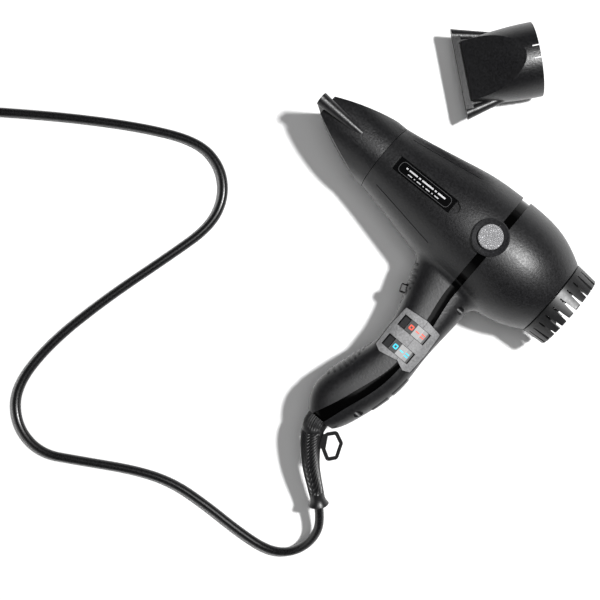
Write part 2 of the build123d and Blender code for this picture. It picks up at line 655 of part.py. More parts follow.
with BuildPart() as intake_guard:
    with Locations(barrel_plane(47)):
        for ring_r in (28.6, 21.0, 13.5, 6.0):
            Cylinder(ring_r, 1.6, align=FROM_BASE)
            Cylinder(ring_r - 1.4, 1.6, align=FROM_BASE, mode=Mode.SUBTRACT)
        with PolarLocations(16.4, 6):
            Box(22.6, 1.4, 1.6, align=FROM_BASE)
intake_guard.part.label = "intake_guard"
export_step(intake_guard.part, "parts/intake_guard.step")

# ---- outlet ----

with BuildPart() as outlet_grille:
    with Locations(barrel_plane(OUTLET_X - SPIGOT_LENGTH + 1)):
        for ring_r in (SPIGOT_BORE - FIT, 15.6, 10.4, 5.2):
            Cylinder(ring_r, 2, align=FROM_BASE)
            Cylinder(ring_r - 1.1, 2, align=FROM_BASE, mode=Mode.SUBTRACT)
        with PolarLocations(11.9, 6):
            Box(16.6, 1.1, 2, align=FROM_BASE)
outlet_grille.part.label = "outlet_grille"
export_step(outlet_grille.part, "parts/outlet_grille.step")

HEATER_START_X = -98.0
HEATER_END_X = -34.0
HEATER_LENGTH = HEATER_END_X - HEATER_START_X
COIL_COUNT = 8
COIL_PITCH = 6.0
with BuildPart() as mica_cross:
    with Locations(barrel_plane(HEATER_START_X)):
        Box(38.4, 0.8, HEATER_LENGTH, align=FROM_BASE)
        Box(0.8, 38.4, HEATER_LENGTH, align=FROM_BASE)
        Cylinder(3.4, 9, align=FROM_BASE, mode=Mode.SUBTRACT)
    # notches that carry the coils
    for index in range(COIL_COUNT):
        with Locations(barrel_plane(HEATER_START_X + 6 + index * COIL_PITCH)):
            Torus(15.2, 0.9, mode=Mode.SUBTRACT)
mica_cross.part.label = "mica_cross"
export_step(mica_cross.part, "parts/mica_cross.step")

with BuildPart() as mica_sleeve:
    with Locations(barrel_plane(HEATER_START_X)):
        Cylinder(20.2, HEATER_LENGTH, align=FROM_BASE)
        Cylinder(19.5, HEATER_LENGTH, align=FROM_BASE, mode=Mode.SUBTRACT)
mica_sleeve.part.label = "mica_sleeve"
export_step(mica_sleeve.part, "parts/mica_sleeve.step")

# Heating coils: rings in notches of the mica cross, joined by bus bars.
with BuildPart() as heating_coils:
    for index in range(COIL_COUNT):
        with Locations(barrel_plane(HEATER_START_X + 6 + index * COIL_PITCH)):
            Torus(15.2, 0.8)
    with Locations(barrel_plane(HEATER_START_X + 6)):
        with PolarLocations(15.2, 2, start_angle=45):
            Cylinder(0.9, (COIL_COUNT - 1) * COIL_PITCH, align=FROM_BASE)
heating_coils.part.label = "heating_coils"
export_step(heating_coils.part, "parts/heating_coils.step")

with BuildPart() as thermostat:
    with Locations((HEATER_END_X - 7, 8, AXIS_Z + 0.5)):
        Box(9, 8, 3, align=FROM_BASE)
    with Locations((HEATER_END_X - 7, 8, AXIS_Z + 3.5)):
        Cylinder(3, 1.6, align=FROM_BASE)
thermostat.part.label = "thermostat"
export_step(thermostat.part, "parts/thermostat.step")

with BuildPart() as thermal_fuse:
    with Locations(Plane(origin=(HEATER_END_X - 13, -9, AXIS_Z + 2.4), z_dir=(1, 0, 0))):
        Cylinder(1.9, 11, align=FROM_BASE)
thermal_fuse.part.label = "thermal_fuse"
export_step(thermal_fuse.part, "parts/thermal_fuse.step")

with BuildPart() as ion_emitter:
    with Locations(barrel_plane(OUTLET_X - SPIGOT_LENGTH - 3)):
        Cylinder(3.2, 12, align=FROM_BASE)
        Cone(0.9, 0.2, 4, rotation=(180, 0, 0), align=(Align.CENTER, Align.CENTER, Align.MIN))
ion_emitter.part.label = "ion_emitter"
export_step(ion_emitter.part, "parts/ion_emitter.step")

# ---- motor ----

MOTOR_START_X = -18.0
MOTOR_END_X = 20.0
MOTOR_CAN_WALL = 1.2
BEARING_R = 4.5
with BuildPart() as motor_can:
    with Locations(barrel_plane(MOTOR_START_X)):
        Cylinder(MOTOR_R, MOTOR_END_X - MOTOR_START_X, align=FROM_BASE)
        Cylinder(BEARING_R, MOTOR_END_X - MOTOR_START_X, align=FROM_BASE, mode=Mode.SUBTRACT)
    with Locations(barrel_plane(MOTOR_START_X + 3)):
        Cylinder(MOTOR_R - MOTOR_CAN_WALL, MOTOR_END_X - MOTOR_START_X - 6, align=FROM_BASE,
                 mode=Mode.SUBTRACT)
motor_can.part.label = "motor_can"
export_step(motor_can.part, "parts/motor_can.step")

for name, start_x in (("front_bearing", MOTOR_START_X), ("rear_bearing", MOTOR_END_X - 3)):
    with BuildPart() as bearing:
        with Locations(barrel_plane(start_x)):
            Cylinder(BEARING_R, 3, align=FROM_BASE)
            Cylinder(SHAFT_R + FIT, 3, align=FROM_BASE, mode=Mode.SUBTRACT)
    bearing.part.label = name
    export_step(bearing.part, f"parts/{name}.step")

with BuildPart() as motor_magnets:
    with Locations(barrel_plane(-9)):
        Cylinder(MOTOR_R - MOTOR_CAN_WALL, 22, align=FROM_BASE)
        Cylinder(10.3, 22, align=FROM_BASE, mode=Mode.SUBTRACT)
        Box(60, 9, 22, align=FROM_BASE, mode=Mode.SUBTRACT)
motor_magnets.part.label = "motor_magnets"
export_step(motor_magnets.part, "parts/motor_magnets.step")

with BuildPart() as motor_shaft:
    with Locations(barrel_plane(MOTOR_START_X - 2)):
        Cylinder(SHAFT_R, 60, align=FROM_BASE)
motor_shaft.part.label = "motor_shaft"
export_step(motor_shaft.part, "parts/motor_shaft.step")

with BuildPart() as armature:
    with Locations(barrel_plane(-7)):
        Cylinder(9.6, 18, align=FROM_BASE)
        with PolarLocations(8.0, 8):
            Box(5, 1.6, 18, align=FROM_BASE, mode=Mode.SUBTRACT)
        Cylinder(SHAFT_R, 18, align=FROM_BASE, mode=Mode.SUBTRACT)
armature.part.label = "armature"
export_step(armature.part, "parts/armature.step")

with BuildPart() as commutator:
    with Locations(barrel_plane(-13)):
        Cylinder(3.6, 5, align=FROM_BASE)
        Cylinder(SHAFT_R, 5, align=FROM_BASE, mode=Mode.SUBTRACT)
commutator.part.label = "commutator"
export_step(commutator.part, "parts/commutator.step")

with BuildPart() as motor_brushes:
    for side in (-1, 1):
        with Locations((-10.5, side * 7.4, AXIS_Z)):
            Box(3, 7, 3)
motor_brushes.part.label = "motor_brushes"
export_step(motor_brushes.part, "parts/motor_brushes.step")

# ---- fan in its housing ----

FAN_DEPTH = 16.0
HUB_R = 10.0
HOUSING_START_X = -20.0
HOUSING_END_X = 39.5
with BuildPart() as fan:
    with Locations(barrel_plane(FAN_X)):
        with PolarLocations((HUB_R + FAN_R) / 2, 7):
            Box(FAN_R - HUB_R + 3, 1.6, FAN_DEPTH, rotation=(38, 0, 0))
        Cylinder(FAN_R, FAN_DEPTH, mode=Mode.INTERSECT)
        Cylinder(HUB_R, FAN_DEPTH)
        Cylinder(SHAFT_R, FAN_DEPTH, mode=Mode.SUBTRACT)
fan.part.label = "fan"
export_step(fan.part, "parts/fan.step")

with BuildPart() as fan_housing:
    with Locations(barrel_plane(HOUSING_START_X)):
        Cylinder(HOUSING_R, HOUSING_END_X - HOUSING_START_X, align=FROM_BASE)
        Cylinder(HOUSING_R - 1.2, HOUSING_END_X - HOUSING_START_X, align=FROM_BASE, mode=Mode.SUBTRACT)
    with Locations(barrel_plane(0)):
        Cylinder(MOTOR_R + 1.4, 26)
        with PolarLocations(23.4, 9):
            Box(14.6, 1.2, 18, rotation=(-16, 0, 0))
        Cylinder(MOTOR_R, 40, mode=Mode.SUBTRACT)
fan_housing.part.label = "fan_housing"
export_step(fan_housing.part, "parts/fan_housing.step")

# ---- electrics in the handle ----

BOARD_Z = AXIS_Z - 7
with BuildPart() as circuit_board:
    with Locations((-3, -124, BOARD_Z)):
        Box(18, 28, 1.6, align=(Align.CENTER, Align.CENTER, Align.MAX))
circuit_board.part.label = "circuit_board"
export_step(circuit_board.part, "parts/circuit_board.step")

with BuildPart() as capacitor:
    with Locations((-3, -130, BOARD_Z)):
        Box(14, 6, 8, align=FROM_BASE)
    fillet(capacitor.edges().filter_by(Axis.Z), 0.8)
capacitor.part.label = "capacitor"
export_step(capacitor.part, "parts/capacitor.step")

with BuildPart() as rectifiers:
    with Locations((-8, -118, BOARD_Z), (-3, -118, BOARD_Z), (2, -118, BOARD_Z)):
        Box(3, 6, 3, align=FROM_BASE)
rectifiers.part.label = "rectifiers"
export_step(rectifiers.part, "parts/rectifiers.step")

with BuildPart() as ion_generator:
    with Locations((7, -60, AXIS_Z - 11)):
        Box(14, 16, 9, align=FROM_BASE)
    fillet(ion_generator.edges(), 0.8)
ion_generator.part.label = "ion_generator"
export_step(ion_generator.part, "parts/ion_generator.step")

# Tail of the cord inside the handle, held by a clamp with two screws.
with BuildPart() as cord_end:
    with Locations(Plane(origin=(RELIEF_X, HANDLE_END_Y + 9, AXIS_Z), z_dir=(0, 1, 0))):
        Cylinder(CORD_D / 2, 13, align=FROM_BASE)
cord_end.part.label = "cord_end"
export_step(cord_end.part, "parts/cord_end.step")

CLAMP_Y = -152.5
with BuildPart() as cord_clamp:
    with Locations((RELIEF_X, CLAMP_Y, AXIS_Z)):
        Box(17, 5, 10)
        Cylinder(CORD_D / 2, 10, rotation=(90, 0, 0), mode=Mode.SUBTRACT)
    with Locations((RELIEF_X - 6, CLAMP_Y, AXIS_Z), (RELIEF_X + 6, CLAMP_Y, AXIS_Z)):
        Cylinder(1.1, 20, mode=Mode.SUBTRACT)
cord_clamp.part.label = "cord_clamp"
export_step(cord_clamp.part, "parts/cord_clamp.step")

with BuildPart() as clamp_screws:
    for side in (-6, 6):
        with Locations((RELIEF_X + side, CLAMP_Y, AXIS_Z + 5)):
            Cylinder(1.1, 10, align=(Align.CENTER, Align.CENTER, Align.MAX))
            Cylinder(2.0, 1.4, align=FROM_BASE)
clamp_screws.part.label = "clamp_screws"
export_step(clamp_screws.part, "parts/clamp_screws.step")

# Insulated leads: from the cord to the board, and from the board up to the motor.
LEAD_R = 1.1
LEADS = [
    [(RELIEF_X - 1.2, -145.4, AXIS_Z), (RELIEF_X - 1.0, -141, AXIS_Z - 2), (-8, -136, AXIS_Z - 5.6)],
    [(RELIEF_X + 1.4, -145.4, AXIS_Z), (RELIEF_X + 2.2, -141, AXIS_Z - 2), (-2, -136, AXIS_Z - 5.6)],
    [(5, -113, AXIS_Z - 5.6), (6, -100, AXIS_Z - 7.5), (2, -80, AXIS_Z - 8), (-3, -60, AXIS_Z - 8),
     (-5, -44, AXIS_Z - 4), (-10, -33.8, AXIS_Z)],
]
with BuildPart() as lead_wires:
    for points in LEADS:
        with BuildLine() as lead_line:
            Spline(points)
        with BuildSketch(Plane(origin=lead_line.line @ 0, z_dir=lead_line.line % 0)):
            Circle(LEAD_R)
        sweep(path=lead_line.line)
lead_wires.part.label = "lead_wires"
export_step(lead_wires.part, "parts/lead_wires.step")

# ---- supply cord ----

# Middle line of the cord from the strain relief along the floor to the coil.
COIL_CENTRE = Vector(-350, -221, 0)
COIL_TURN_R = (26.0, 32.5, 39.0, 45.5)
COIL_BASE_Z = 1.2        # the tie passes under the coil
COIL_LAYERS = 2
COIL_ENTRY = Vector(-0.62, 0.785, 0).normalized()
CORD_AT_COIL = COIL_CENTRE + COIL_ENTRY * COIL_TURN_R[-1]
RELIEF_EXIT = relief_line.line @ 1
EXIT_RUN_END = RELIEF_EXIT + RELIEF_END_WAY * 14
CORD_ROUTE = [
    (RELIEF_EXIT.X, RELIEF_EXIT.Y, RELIEF_EXIT.Z), (EXIT_RUN_END.X, EXIT_RUN_END.Y, EXIT_RUN_END.Z),
    (42, -238.7, 17.5), (40.3, -252.3, 11), (33.2, -263.6, 6.2), (20.5, -270.8, 3.8), (-3, -273.5, FLOOR_Z),
    (-34, -274.2, FLOOR_Z), (-62, -277, FLOOR_Z), (-88, -287, FLOOR_Z), (-126, -309.5, FLOOR_Z),
    (-150.5, -323.5, FLOOR_Z), (-177, -319, FLOOR_Z), (-195.5, -298, FLOOR_Z), (-197, -258, FLOOR_Z),
    (-187, -207, FLOOR_Z), (-171, -151, FLOOR_Z), (-162, -116, FLOOR_Z), (-168, -92.5, FLOOR_Z),
    (-185, -77, FLOOR_Z), (-209, -74, FLOOR_Z), (-245, -91, FLOOR_Z), (-291, -120, FLOOR_Z),
    (-338, -153.6, FLOOR_Z), (CORD_AT_COIL.X, CORD_AT_COIL.Y, COIL_BASE_Z + CORD_D / 2),
]


def bend_radii(points):
    """Radius of the arc at each inner point of a route, as large as its two runs allow."""
    radii = []
    for before, here, after in zip(points, points[1:], points[2:]):
        run_in = Vector(*here) - Vector(*before)
        run_out = Vector(*after) - Vector(*here)
        half_turn = math.radians(run_in.get_angle(run_out)) / 2
        radii.append(0.45 * min(run_in.length, run_out.length) / math.tan(half_turn))
    return radii


CORD_RADII = bend_radii(CORD_ROUTE)
with BuildPart() as cord_tube:
    with BuildLine() as cord_line:
        FilletPolyline(*CORD_ROUTE, radius=CORD_RADII)
    with BuildSketch(Plane(origin=cord_line.line @ 0, z_dir=cord_line.line % 0)):
        Circle(CORD_D / 2)
    sweep(path=cord_line.line)
cord_tube.part.label = "cord_tube"
export_step(cord_tube.part, "parts/cord_tube.step")
print("cord bend radii", [round(radius) for radius in CORD_RADII])
print("cord tube length", round(cord_line.wire().length, 1), "volume", round(cord_tube.part.volume),
      "section times length", round(math.pi * (CORD_D / 2) ** 2 * cord_line.wire().length))

with BuildPart() as cord_coil:
    with Locations((COIL_CENTRE.X, COIL_CENTRE.Y, COIL_BASE_Z)):
        Cylinder(COIL_TURN_R[-1] + CORD_D / 2, COIL_LAYERS * CORD_D, align=FROM_BASE)
        Cylinder(COIL_TURN_R[0] - CORD_D / 2, COIL_LAYERS * CORD_D, align=FROM_BASE, mode=Mode.SUBTRACT)
    fillet(cord_coil.edges(), 2.4)
cord_coil.part.label = "cord_coil"
export_step(cord_coil.part, "parts/cord_coil.step")

# Strap round the coil, on the side away from the cord's entry.
TIE_WALL = 1.1
coil_width = COIL_TURN_R[-1] - COIL_TURN_R[0] + CORD_D
TIE_PLANE = Plane(origin=COIL_CENTRE - COIL_ENTRY * ((COIL_TURN_R[0] + COIL_TURN_R[-1]) / 2)
                  + Vector(0, 0, COIL_BASE_Z + COIL_LAYERS * CORD_D / 2),
                  x_dir=COIL_ENTRY, z_dir=COIL_ENTRY.cross(Vector(0, 0, 1)))
with BuildPart() as coil_tie:
    with BuildSketch(TIE_PLANE):
        RectangleRounded(coil_width + 2 * TIE_WALL, COIL_LAYERS * CORD_D + 2 * TIE_WALL, 3.0)
        RectangleRounded(coil_width + 1.2, COIL_LAYERS * CORD_D + 0.1, 2.2, mode=Mode.SUBTRACT)
    extrude(amount=7, both=True)
coil_tie.part.label = "coil_tie"
export_step(coil_tie.part, "parts/coil_tie.step")

# The cord leaves the upper layer over its entry and ends in the plug.
TAIL_Z = COIL_BASE_Z + CORD_D * 1.5
TAIL_WAY = COIL_ENTRY.cross(Vector(0, 0, -1))
TAIL_LENGTH = 28.0
BOOT_LENGTH = 18.0
PLUG_LENGTH = 30.0
TAIL_START = Vector(CORD_AT_COIL.X, CORD_AT_COIL.Y, TAIL_Z)
tail_plane = Plane(origin=TAIL_START, x_dir=COIL_ENTRY, z_dir=TAIL_WAY)
with BuildPart() as cord_tail:
    with BuildSketch(tail_plane):
        Circle(CORD_D / 2)
    extrude(amount=TAIL_LENGTH)
cord_tail.part.label = "cord_tail"
export_step(cord_tail.part, "parts/cord_tail.step")

with BuildPart() as plug_body:
    with BuildSketch(tail_plane.offset(TAIL_LENGTH)):
        Circle(4.4)
    with BuildSketch(tail_plane.offset(TAIL_LENGTH + BOOT_LENGTH)):
        Circle(6.2)
    loft()
    with BuildSketch(tail_plane.offset(TAIL_LENGTH + BOOT_LENGTH)):
        RectangleRounded(22, 17, 6)
    with BuildSketch(tail_plane.offset(TAIL_LENGTH + BOOT_LENGTH + 10)):
        RectangleRounded(32, 20, 7)
    with BuildSketch(tail_plane.offset(TAIL_LENGTH + BOOT_LENGTH + PLUG_LENGTH)):
        RectangleRounded(32, 20, 7)
    loft()
    fillet(plug_body.faces().sort_by(Axis(tail_plane.origin, tail_plane.z_dir))[-1].edges(), 1.5)
plug_body.part.label = "plug_body"
export_step(plug_body.part, "parts/plug_body.step")

BLADE_SPACING = 12.7
with BuildPart() as plug_blades:
    with BuildSketch(tail_plane.offset(TAIL_LENGTH + BOOT_LENGTH + PLUG_LENGTH)):
        with GridLocations(BLADE_SPACING, 1, 2, 1):
            Rectangle(1.5, 6.35)
    extrude(amount=17.5)
plug_blades.part.label = "plug_blades"
export_step(plug_blades.part, "parts/plug_blades.step")
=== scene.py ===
import bmesh
import bpy
import json
import math
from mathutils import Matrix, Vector
from mathutils.bvhtree import BVHTree


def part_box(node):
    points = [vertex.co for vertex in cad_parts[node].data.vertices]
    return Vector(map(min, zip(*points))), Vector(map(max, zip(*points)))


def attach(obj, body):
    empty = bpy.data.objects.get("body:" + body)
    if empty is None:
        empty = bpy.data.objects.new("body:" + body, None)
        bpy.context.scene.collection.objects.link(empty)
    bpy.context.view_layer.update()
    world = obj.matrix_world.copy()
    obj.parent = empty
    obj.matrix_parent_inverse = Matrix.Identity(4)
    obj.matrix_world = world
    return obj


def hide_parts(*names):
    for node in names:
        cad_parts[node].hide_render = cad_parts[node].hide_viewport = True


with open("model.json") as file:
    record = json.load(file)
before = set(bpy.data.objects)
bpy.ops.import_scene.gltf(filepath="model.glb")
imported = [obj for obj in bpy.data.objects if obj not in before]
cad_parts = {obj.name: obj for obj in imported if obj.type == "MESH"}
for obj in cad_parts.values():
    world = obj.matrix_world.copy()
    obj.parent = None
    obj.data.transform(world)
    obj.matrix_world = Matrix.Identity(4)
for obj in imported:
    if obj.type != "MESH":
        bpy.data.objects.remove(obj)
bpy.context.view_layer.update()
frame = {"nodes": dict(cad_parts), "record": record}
nodes = frame["nodes"]

MM = 0.001
AXIS_Z = 0.044            # height of the barrel axis
ROCKER_X = 0.0008         # pins of the rockers
ROCKER_Y = {"heat_rocker": -0.0791, "speed_rocker": -0.096}
ROCKER_Z = AXIS_Z + 0.012
ROCKER_ENDS = (-0.0107, 0.0107)                 # along the rocker, from its pin
ROCKER_EDGES = (-0.0055, 0.0002, 0.0054)        # where its cells start
CORD_D = 0.0065
FLOOR_Z = 0.0033          # height of the cord's middle where it lies on the floor

# ---------------------------------------------------------------- camera and light

VIEW_TURN = math.radians(40.1)      # the barrel lies turned in the picture
VIEW_POINT = Vector((0.0006, -0.0982, 0.87))    # straight above the handle
FLOOR_WIDTH = 0.4416                # width of the floor that the picture shows
SENSOR_WIDTH = 36                   # mm
VIEW_SHIFT = (-0.16, 0.085)         # the picture is cut from a wider one, left of and above its middle
KEY_PLACE = Vector((0.29, 0.32, 1.2))           # small key light, which gives the shadows
KEY_TARGET = (-0.08, -0.09, 0)
KEY_SIZE = 0.10
KEY_POWER = 22.5
PANEL_PLACE = (0.0, -0.06, 1.25)                # soft light overhead
PANEL_TARGET = (0.0, -0.06, 0)
PANEL_SIZE = 0.5
PANEL_POWER = 3.2


def make_camera():
    """Camera straight above the dryer, its picture shifted so that the spare nozzle and the cord fit."""
    data = bpy.data.cameras.new("camera")
    data.sensor_width = SENSOR_WIDTH
    data.lens = data.sensor_width * VIEW_POINT.z / FLOOR_WIDTH
    data.shift_x, data.shift_y = VIEW_SHIFT
    camera = bpy.data.objects.new("camera", data)
    bpy.context.scene.collection.objects.link(camera)
    camera.location = VIEW_POINT
    camera.rotation_euler = (0, 0, VIEW_TURN)
    bpy.context.scene.camera = camera


RIM_WAY = Vector((-0.35, -0.90, 0.18)).normalized()     # towards a soft light low on the handle's side
RIM_EDGE = 0.86           # cosine of the angle from that way at which the soft light starts
RIM_FULL = 0.98           # and at which it is full
RIM_STRENGTH = 1.1
HORIZON_TOP = 0.28        # height of the bright horizon, as a share of the dome
HORIZON_STRENGTH = 0.6
SKY_STRENGTH = 0.07


def dimmed(tree, value, start, end, strength):
    """Grey tone that rises from nothing at start to strength at end."""
    node = tree.nodes.new("ShaderNodeMapRange")
    node.interpolation_type = "SMOOTHSTEP"
    node.inputs["From Min"].default_value = start
    node.inputs["From Max"].default_value = end
    node.inputs["To Max"].default_value = strength
    tree.links.new(value, node.inputs["Value"])
    return node.outputs["Result"]


def make_world():
    """Bright horizon and one soft bright patch, under a dark sky."""
    world = bpy.data.worlds.new("studio")
    bpy.context.scene.world = world
    world.use_nodes = True
    tree = world.node_tree
    way = tree.nodes.new("ShaderNodeTexCoord").outputs["Generated"]
    split = tree.nodes.new("ShaderNodeSeparateXYZ")
    tree.links.new(way, split.inputs["Vector"])
    horizon = dimmed(tree, split.outputs["Z"], HORIZON_TOP, 0.0, HORIZON_STRENGTH)
    towards = tree.nodes.new("ShaderNodeVectorMath")
    towards.operation = "DOT_PRODUCT"
    towards.inputs[1].default_value = RIM_WAY
    tree.links.new(way, towards.inputs[0])
    patch = dimmed(tree, towards.outputs["Value"], RIM_EDGE, RIM_FULL, RIM_STRENGTH)
    both = tree.nodes.new("ShaderNodeMath")
    both.operation = "ADD"
    tree.links.new(horizon, both.inputs[0])
    tree.links.new(patch, both.inputs[1])
    sky = tree.nodes.new("ShaderNodeMath")
    sky.operation = "ADD"
    sky.inputs[1].default_value = SKY_STRENGTH
    tree.links.new(both.outputs["Value"], sky.inputs[0])
    tree.links.new(sky.outputs["Value"], tree.nodes["Background"].inputs["Color"])


def area_light(name, shape, size, power, position, target):
    """An area light at position that points at target."""
    data = bpy.data.lights.new(name, "AREA")
    data.shape = shape
    data.size = size
    data.energy = power
    light = bpy.data.objects.new(name, data)
    bpy.context.scene.collection.objects.link(light)
    light.location = position
    light.rotation_euler = (Vector(target) - Vector(position)).to_track_quat("-Z", "Y").to_euler()


def make_lights():
    """A small key light high on one side, a weak soft panel overhead and the studio round them."""
    area_light("key", "DISK", KEY_SIZE, KEY_POWER, KEY_PLACE, KEY_TARGET)
    area_light("panel", "SQUARE", PANEL_SIZE, PANEL_POWER, PANEL_PLACE, PANEL_TARGET)
    make_world()


make_camera()
make_lights()
bpy.context.scene.view_settings.view_transform = "Standard"

# ---------------------------------------------------------------- materials


def new_material(name, colour, roughness, metallic=0.0, specular=0.5):
    """A Principled material; returns it with its node tree and shader."""
    material = bpy.data.materials.new(name)
    material.use_nodes = True
    tree = material.node_tree
    shader = tree.nodes["Principled BSDF"]
    shader.inputs["Base Color"].default_value = (*colour, 1)
    shader.inputs["Roughness"].default_value = roughness
    shader.inputs["Metallic"].default_value = metallic
    shader.inputs["Specular IOR Level"].default_value = specular
    return material, tree, shader


def object_coordinates(tree):
    return tree.nodes.new("ShaderNodeTexCoord").outputs["Object"]


def noise(tree, scale, detail=2.0, rough=0.5):
    """Noise that stays with the object."""
    node = tree.nodes.new("ShaderNodeTexNoise")
    node.inputs["Scale"].default_value = scale
    node.inputs["Detail"].default_value = detail
    node.inputs["Roughness"].default_value = rough
    tree.links.new(object_coordinates(tree), node.inputs["Vector"])
    return node.outputs["Fac"]


def mapped(tree, value, low, high):
    """A value of 0 to 1, spread from low to high."""
    node = tree.nodes.new("ShaderNodeMapRange")
    node.inputs["To Min"].default_value = low
    node.inputs["To Max"].default_value = high
    tree.links.new(value, node.inputs["Value"])
    return node.outputs["Result"]


def bump(tree, shader, height, distance):
    """Relief of the surface, distance metres deep."""
    node = tree.nodes.new("ShaderNodeBump")
    node.inputs["Distance"].default_value = distance
    tree.links.new(height, node.inputs["Height"])
    tree.links.new(node.outputs["Normal"], shader.inputs["Normal"])


def tinted(tree, shader, value, dark, light):
    """Colour between two tones, by value."""
    ramp = tree.nodes.new("ShaderNodeValToRGB")
    ramp.color_ramp.elements[0].position = 0.3
    ramp.color_ramp.elements[1].position = 0.7
    ramp.color_ramp.elements[0].color = (*dark, 1)
    ramp.color_ramp.elements[1].color = (*light, 1)
    tree.links.new(value, ramp.inputs["Fac"])
    tree.links.new(ramp.outputs["Color"], shader.inputs["Base Color"])


SPECKLE = 0.15            # how much the roughness varies with the grain
WEAR_SCALE = 45.0         # patches of wear, per metre
RIPPLE_SCALE = 90.0       # ripple of a gloss moulding
SMUDGE_SCALE = 240.0
FINE_RELIEF = 0.00002     # depth of a ripple or scratch


def grained(name, colour, roughness, grain=1500.0, depth=0.00010, spread=0.25, specular=0.5):
    """Moulded plastic with an eroded grain, whose specks differ in depth, tone and gloss."""
    material, tree, shader = new_material(name, colour, roughness, specular=specular)
    fine = noise(tree, grain, 3.0, 0.65)
    dark = [c * (1 - 2 * spread) for c in colour]
    light = [c * (1 + 3 * spread) for c in colour]
    tinted(tree, shader, fine, dark, light)
    worn = noise(tree, WEAR_SCALE, 4.0, 0.6)
    gloss = tree.nodes.new("ShaderNodeMath")
    gloss.operation = "ADD"
    tree.links.new(mapped(tree, worn, roughness - 0.05, roughness + 0.07), gloss.inputs[0])
    tree.links.new(mapped(tree, fine, -SPECKLE, SPECKLE), gloss.inputs[1])
    tree.links.new(gloss.outputs["Value"], shader.inputs["Roughness"])
    bump(tree, shader, fine, depth)
    return material


def polished(name, colour, roughness, specular=0.5):
    """Gloss plastic with the faint ripple of a moulding."""
    material, tree, shader = new_material(name, colour, roughness, specular=specular)
    ripple = noise(tree, RIPPLE_SCALE, 1.0)
    tinted(tree, shader, ripple, [c * 0.85 for c in colour], [c * 1.15 for c in colour])
    smudge = noise(tree, SMUDGE_SCALE, 4.0, 0.65)
    tree.links.new(mapped(tree, smudge, roughness * 0.8, roughness * 1.5), shader.inputs["Roughness"])
    bump(tree, shader, ripple, FINE_RELIEF)
    return material


def metal(name, colour, roughness, grain=900.0):
    """Bare or plated metal with fine scratches."""
    material, tree, shader = new_material(name, colour, roughness, metallic=1.0)
    scratch = noise(tree, grain, 4.0, 0.7)
    tree.links.new(mapped(tree, scratch, roughness * 0.7, roughness * 1.4), shader.inputs["Roughness"])
    tinted(tree, shader, scratch, [c * 0.8 for c in colour], [min(1, c * 1.1) for c in colour])
    bump(tree, shader, scratch, FINE_RELIEF)
    return material


MATERIALS = {
    "casing": grained("casing", (0.0030, 0.0030, 0.0036), 0.40, grain=700.0, depth=0.00013, spread=0.3),
    "nozzle_plastic": grained("nozzle_plastic", (0.0028, 0.0028, 0.0034), 0.36, grain=700.0, depth=0.00015,
                              spread=0.3),
    "trim_gloss": polished("trim_gloss", (0.0006, 0.0006, 0.0006), 0.10, specular=0.08),
    "boss_ring": grained("boss_ring", (0.008, 0.008, 0.009), 0.45, grain=700.0, depth=0.00010, specular=0.32),
    "label": polished("label", (0.0012, 0.0012, 0.0014), 0.25, specular=0.10),
    "panel": grained("panel", (0.165, 0.165, 0.168), 0.5, grain=700.0, depth=0.00020, spread=0.14),
    "inner_plastic": grained("inner_plastic", (0.03, 0.03, 0.03), 0.55),
    "button": polished("button", (0.006, 0.006, 0.006), 0.22),
    "relief": grained("relief", (0.0035, 0.0035, 0.004), 0.36, depth=0.00003, specular=0.6),
    "cap_gloss": polished("cap_gloss", (0.004, 0.004, 0.0045), 0.36),
    "mica": grained("mica", (0.5, 0.42, 0.28), 0.45, spread=0.08),
    "magnet": grained("magnet", (0.05, 0.05, 0.055), 0.6),
    "carbon": grained("carbon", (0.02, 0.02, 0.022), 0.6),
    "fan_plastic": grained("fan_plastic", (0.04, 0.04, 0.04), 0.4),
    "board": polished("board", (0.03, 0.16, 0.07), 0.35),
    "capacitor": polished("capacitor", (0.7, 0.52, 0.08), 0.4),
    "chip": grained("chip", (0.012, 0.012, 0.012), 0.5),
    "cord": grained("cord", (0.0045, 0.0045, 0.005), 0.27, grain=900.0, depth=0.00003),
    "lead": polished("lead", (0.45, 0.04, 0.03), 0.4),
    "plug": grained("plug", (0.007, 0.007, 0.0075), 0.38),
    "tie": grained("tie", (0.012, 0.012, 0.012), 0.8, grain=1800.0, depth=0.0002),
    "spring_steel": metal("spring_steel", (0.6, 0.6, 0.6), 0.3),
    "screw_steel": metal("screw_steel", (0.25, 0.25, 0.26), 0.35),
    "mesh_steel": metal("mesh_steel", (0.5, 0.5, 0.5), 0.35),
    "grille_metal": grained("grille_metal", (0.02, 0.02, 0.02), 0.5),
    "heater_wire": metal("heater_wire", (0.42, 0.36, 0.31), 0.45),
    "brass": metal("brass", (0.72, 0.55, 0.25), 0.3),
    "fuse_metal": metal("fuse_metal", (0.7, 0.7, 0.7), 0.35),
    "motor_steel": metal("motor_steel", (0.55, 0.55, 0.57), 0.32),
    "armature_iron": metal("armature_iron", (0.3, 0.22, 0.17), 0.5),
    "copper": metal("copper", (0.75, 0.4, 0.24), 0.35),
    "blade": metal("blade", (0.72, 0.58, 0.32), 0.25),
}
PRINT_RED = polished("print_red", (0.85, 0.10, 0.06), 0.45)
PRINT_CYAN = polished("print_cyan", (0.05, 0.60, 0.80), 0.45)
PRINT_PALE = polished("print_pale", (0.50, 0.50, 0.51), 0.5)
PRINT_DIM = polished("print_dim", (0.055, 0.055, 0.057), 0.5)


PEBBLE_SCALE = 900.0      # cells per metre
PEBBLE_BEND = 0.0012      # how far their borders wander
PEBBLE_DEPTH = 0.00022


